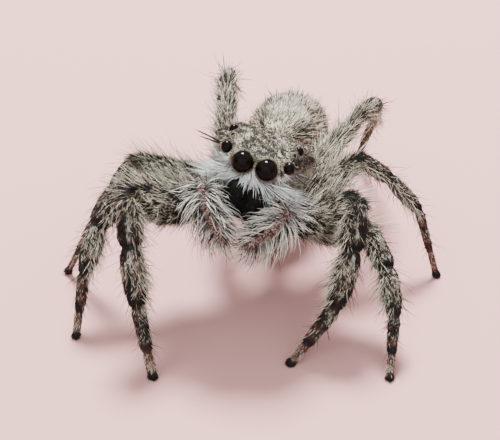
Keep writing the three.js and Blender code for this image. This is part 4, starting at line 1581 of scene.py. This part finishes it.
class SPIDER_OT_jaws(bpy.types.Operator):
    """The glossy black jaws and their folded fangs"""
    bl_idname = "spider.jaws"
    bl_label = "Jaws"

    def execute(self, context):
        colours = context.scene.spider_colours
        name = "spider shell"
        shell = shared_material(name, shell_material, name, tuple(colours.shell), 0.35, 0.012)
        for side in SIDES:
            for kind, rings, bow in (("chelicera", JAW_RINGS, 0.03), ("fang", FANG_RINGS, -0.05)):
                top, bottom = long_axis(f"{kind}_{side}")
                along = unit(bottom - top)
                length = np.linalg.norm(bottom - top)
                front = unit(-BODY_AXES[1] + along * (BODY_AXES[1] @ along))
                shape = [(share * length, half, -bow * math.sin(math.pi * share)) for share, half in rings]
                piece = model_stalk(f"{kind}_shell_{side}", shape, 24)
                stand(piece, frame_matrix(top, np.cross(front, along), front, along))
                recalculate_normals(piece)
                apply_modifier(piece, "SUBSURF", levels=2, render_levels=2)
                to_metres(piece)
                finish_piece(piece, shell, [f"{kind}_{side}"])
        return {"FINISHED"}


CLAW_RINGS = ((0.0, 0.016), (0.3, 0.015), (0.6, 0.011), (0.85, 0.006), (1.0, 0.0015))
CLAW_LENGTH = 0.13
CLAW_BOW = 0.05
CLAW_SETBACK = 0.24  # the claws start this far before the end of the foot
CLAW_RISE = 0.05
CLAW_SPREAD = 0.035


class SPIDER_OT_claws(bpy.types.Operator):
    """A pair of small curved claws at the tip of each foot"""
    bl_idname = "spider.claws"
    bl_label = "Claws"

    def execute(self, context):
        colours = context.scene.spider_colours
        name = "spider claw"
        shell = shared_material(name, shell_material, name, tuple(colours.shell), 0.35, 0.002)
        claws = []
        for leg in LEGS.values():
            for sign in SIDES.values():
                shape = [(share * CLAW_LENGTH, half, CLAW_BOW * share**2) for share, half in CLAW_RINGS]
                claw = model_stalk("claw", shape, 10)
                up = leg.up(TARSUS)
                along = unit(leg.along[TARSUS] * 0.75 + up * 0.5 + leg.normal * sign * 0.12)
                side = unit(np.cross(up, along))
                middle = leg.joints[-1] - leg.along[TARSUS] * CLAW_SETBACK + up * CLAW_RISE
                root = middle + leg.normal * sign * CLAW_SPREAD
                claws.append(stand(claw, frame_matrix(root, side, np.cross(along, side), along)))
        piece = join(claws, "claws")
        recalculate_normals(piece)
        to_metres(piece)
        finish_piece(piece, shell)
        return {"FINISHED"}


# --- Stage ---------------------------------------------------------------------------------

CAMERA_AZIMUTH = math.radians(14)
CAMERA_ELEVATION = math.radians(35)
CAMERA_DISTANCE = 80.0
CAMERA_LENS = 210.8
CAMERA_SENSOR = 36.0
FLOOR_SIZE = 6  # in metres
AMBIENT_COLOUR = (0.95, 0.86, 0.84, 1)
AMBIENT_STRENGTH = 0.22
HEAD_OFFSET = (0.128, 1.473)  # the head stands this far right of and above the middle of the view

# Soft lamps: name, azimuth and elevation seen from the spider in degrees, distance, size, power, colour.
LAMPS = (
    ("key", 14, 86, 260, 800, 1.42, (0.97, 1, 0.95)),
    ("fill", 4, 18, 320, 800, 3.2, (0.9, 0.98, 1)),
    ("rim", 110, 40, 320, 500, 0.35, (1, 0.96, 0.95)),
    ("sparkle", 196, 50, 150, 40, 1.05, (1, 0.99, 0.97)),
)


def view_back(azimuth, elevation):
    """The direction from the spider towards a place at this azimuth and elevation."""
    level = math.cos(elevation)
    return np.array([math.sin(azimuth) * level, -math.cos(azimuth) * level, math.sin(elevation)])


class SPIDER_OT_stage(bpy.types.Operator):
    """A plain pale floor, soft lamps and the camera"""
    bl_idname = "spider.stage"
    bl_label = "Stage"

    def execute(self, context):
        colours = context.scene.spider_colours
        leave_edit_mode()
        bpy.ops.object.select_all(action="DESELECT")
        bpy.ops.mesh.primitive_plane_add(size=FLOOR_SIZE)
        floor = bpy.context.object
        floor.name = "floor"
        floor.data.materials.append(shared_material("plain floor", floor_material, colours))
        self.lamps()
        self.world()
        self.camera(context)
        return {"FINISHED"}

    @staticmethod
    def lamps():
        target = Vector(BODY_ORIGIN * MM)
        for name, azimuth, elevation, distance, size, power, colour in LAMPS:
            data = bpy.data.lights.new(name, "AREA")
            data.shape = "DISK"
            data.size = size * MM
            data.energy = power
            data.color = colour
            lamp = bpy.data.objects.new(name, data)
            bpy.context.scene.collection.objects.link(lamp)
            back = Vector(view_back(math.radians(azimuth), math.radians(elevation)))
            lamp.location = target + back * distance * MM
            lamp.rotation_euler = back.to_track_quat("Z", "Y").to_euler()

    @staticmethod
    def world():
        world = bpy.data.worlds.new("soft room")
        bpy.context.scene.world = world
        world.use_nodes = True
        background = world.node_tree.nodes["Background"]
        background.inputs["Color"].default_value = AMBIENT_COLOUR
        background.inputs["Strength"].default_value = AMBIENT_STRENGTH

    @staticmethod
    def camera(context):
        back = view_back(CAMERA_AZIMUTH, CAMERA_ELEVATION)
        right = np.array([math.cos(CAMERA_AZIMUTH), math.sin(CAMERA_AZIMUTH), 0])
        up = np.cross(back, right)
        aim = BODY_ORIGIN - right * HEAD_OFFSET[0] - up * HEAD_OFFSET[1]
        data = bpy.data.cameras.new("camera")
        data.lens = CAMERA_LENS
        data.sensor_width = CAMERA_SENSOR
        data.clip_start = 0.005
        data.clip_end = 10
        camera = bpy.data.objects.new("camera", data)
        context.scene.collection.objects.link(camera)
        camera.location = Vector((aim + back * CAMERA_DISTANCE) * MM)
        camera.rotation_euler = Vector(back).to_track_quat("Z", "Y").to_euler()
        context.scene.camera = camera


# --- Panel and registration ----------------------------------------------------------------

OPERATORS = (
    SPIDER_OT_skin, SPIDER_OT_eyes, SPIDER_OT_jaws, SPIDER_OT_claws, SPIDER_OT_leg_coat,
    SPIDER_OT_palp_coat, SPIDER_OT_head_coat, SPIDER_OT_face_coat, SPIDER_OT_abdomen_coat,
    SPIDER_OT_underside_coat, SPIDER_OT_jaw_coat, SPIDER_OT_bristles, SPIDER_OT_stage,
)


class SPIDER_PT_panel(bpy.types.Panel):
    """Lists the settings and the pieces of the spider"""
    bl_idname = "SPIDER_PT_panel"
    bl_label = "Jumping Spider"
    bl_space_type = "VIEW_3D"
    bl_region_type = "UI"
    bl_category = "Spider"

    def draw(self, context):
        layout = self.layout
        for settings in (context.scene.spider_coat, context.scene.spider_colours):
            box = layout.box()
            for key in settings.__annotations__:
                box.prop(settings, key)
        for operator in OPERATORS:
            layout.operator(operator.bl_idname)


CLASSES = (SpiderCoatSettings, SpiderColourSettings) + OPERATORS + (SPIDER_PT_panel,)


def register():
    for cls in CLASSES:
        bpy.utils.register_class(cls)
    bpy.types.Scene.spider_coat = PointerProperty(type=SpiderCoatSettings)
    bpy.types.Scene.spider_colours = PointerProperty(type=SpiderColourSettings)


def unregister():
    del bpy.types.Scene.spider_colours
    del bpy.types.Scene.spider_coat
    for cls in reversed(CLASSES):
        bpy.utils.unregister_class(cls)


def main():
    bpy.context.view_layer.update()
    register()
    for operator in OPERATORS:
        category, name = operator.bl_idname.split(".")
        getattr(getattr(bpy.ops, category), name)()


if __name__ == "__main__":
    main()
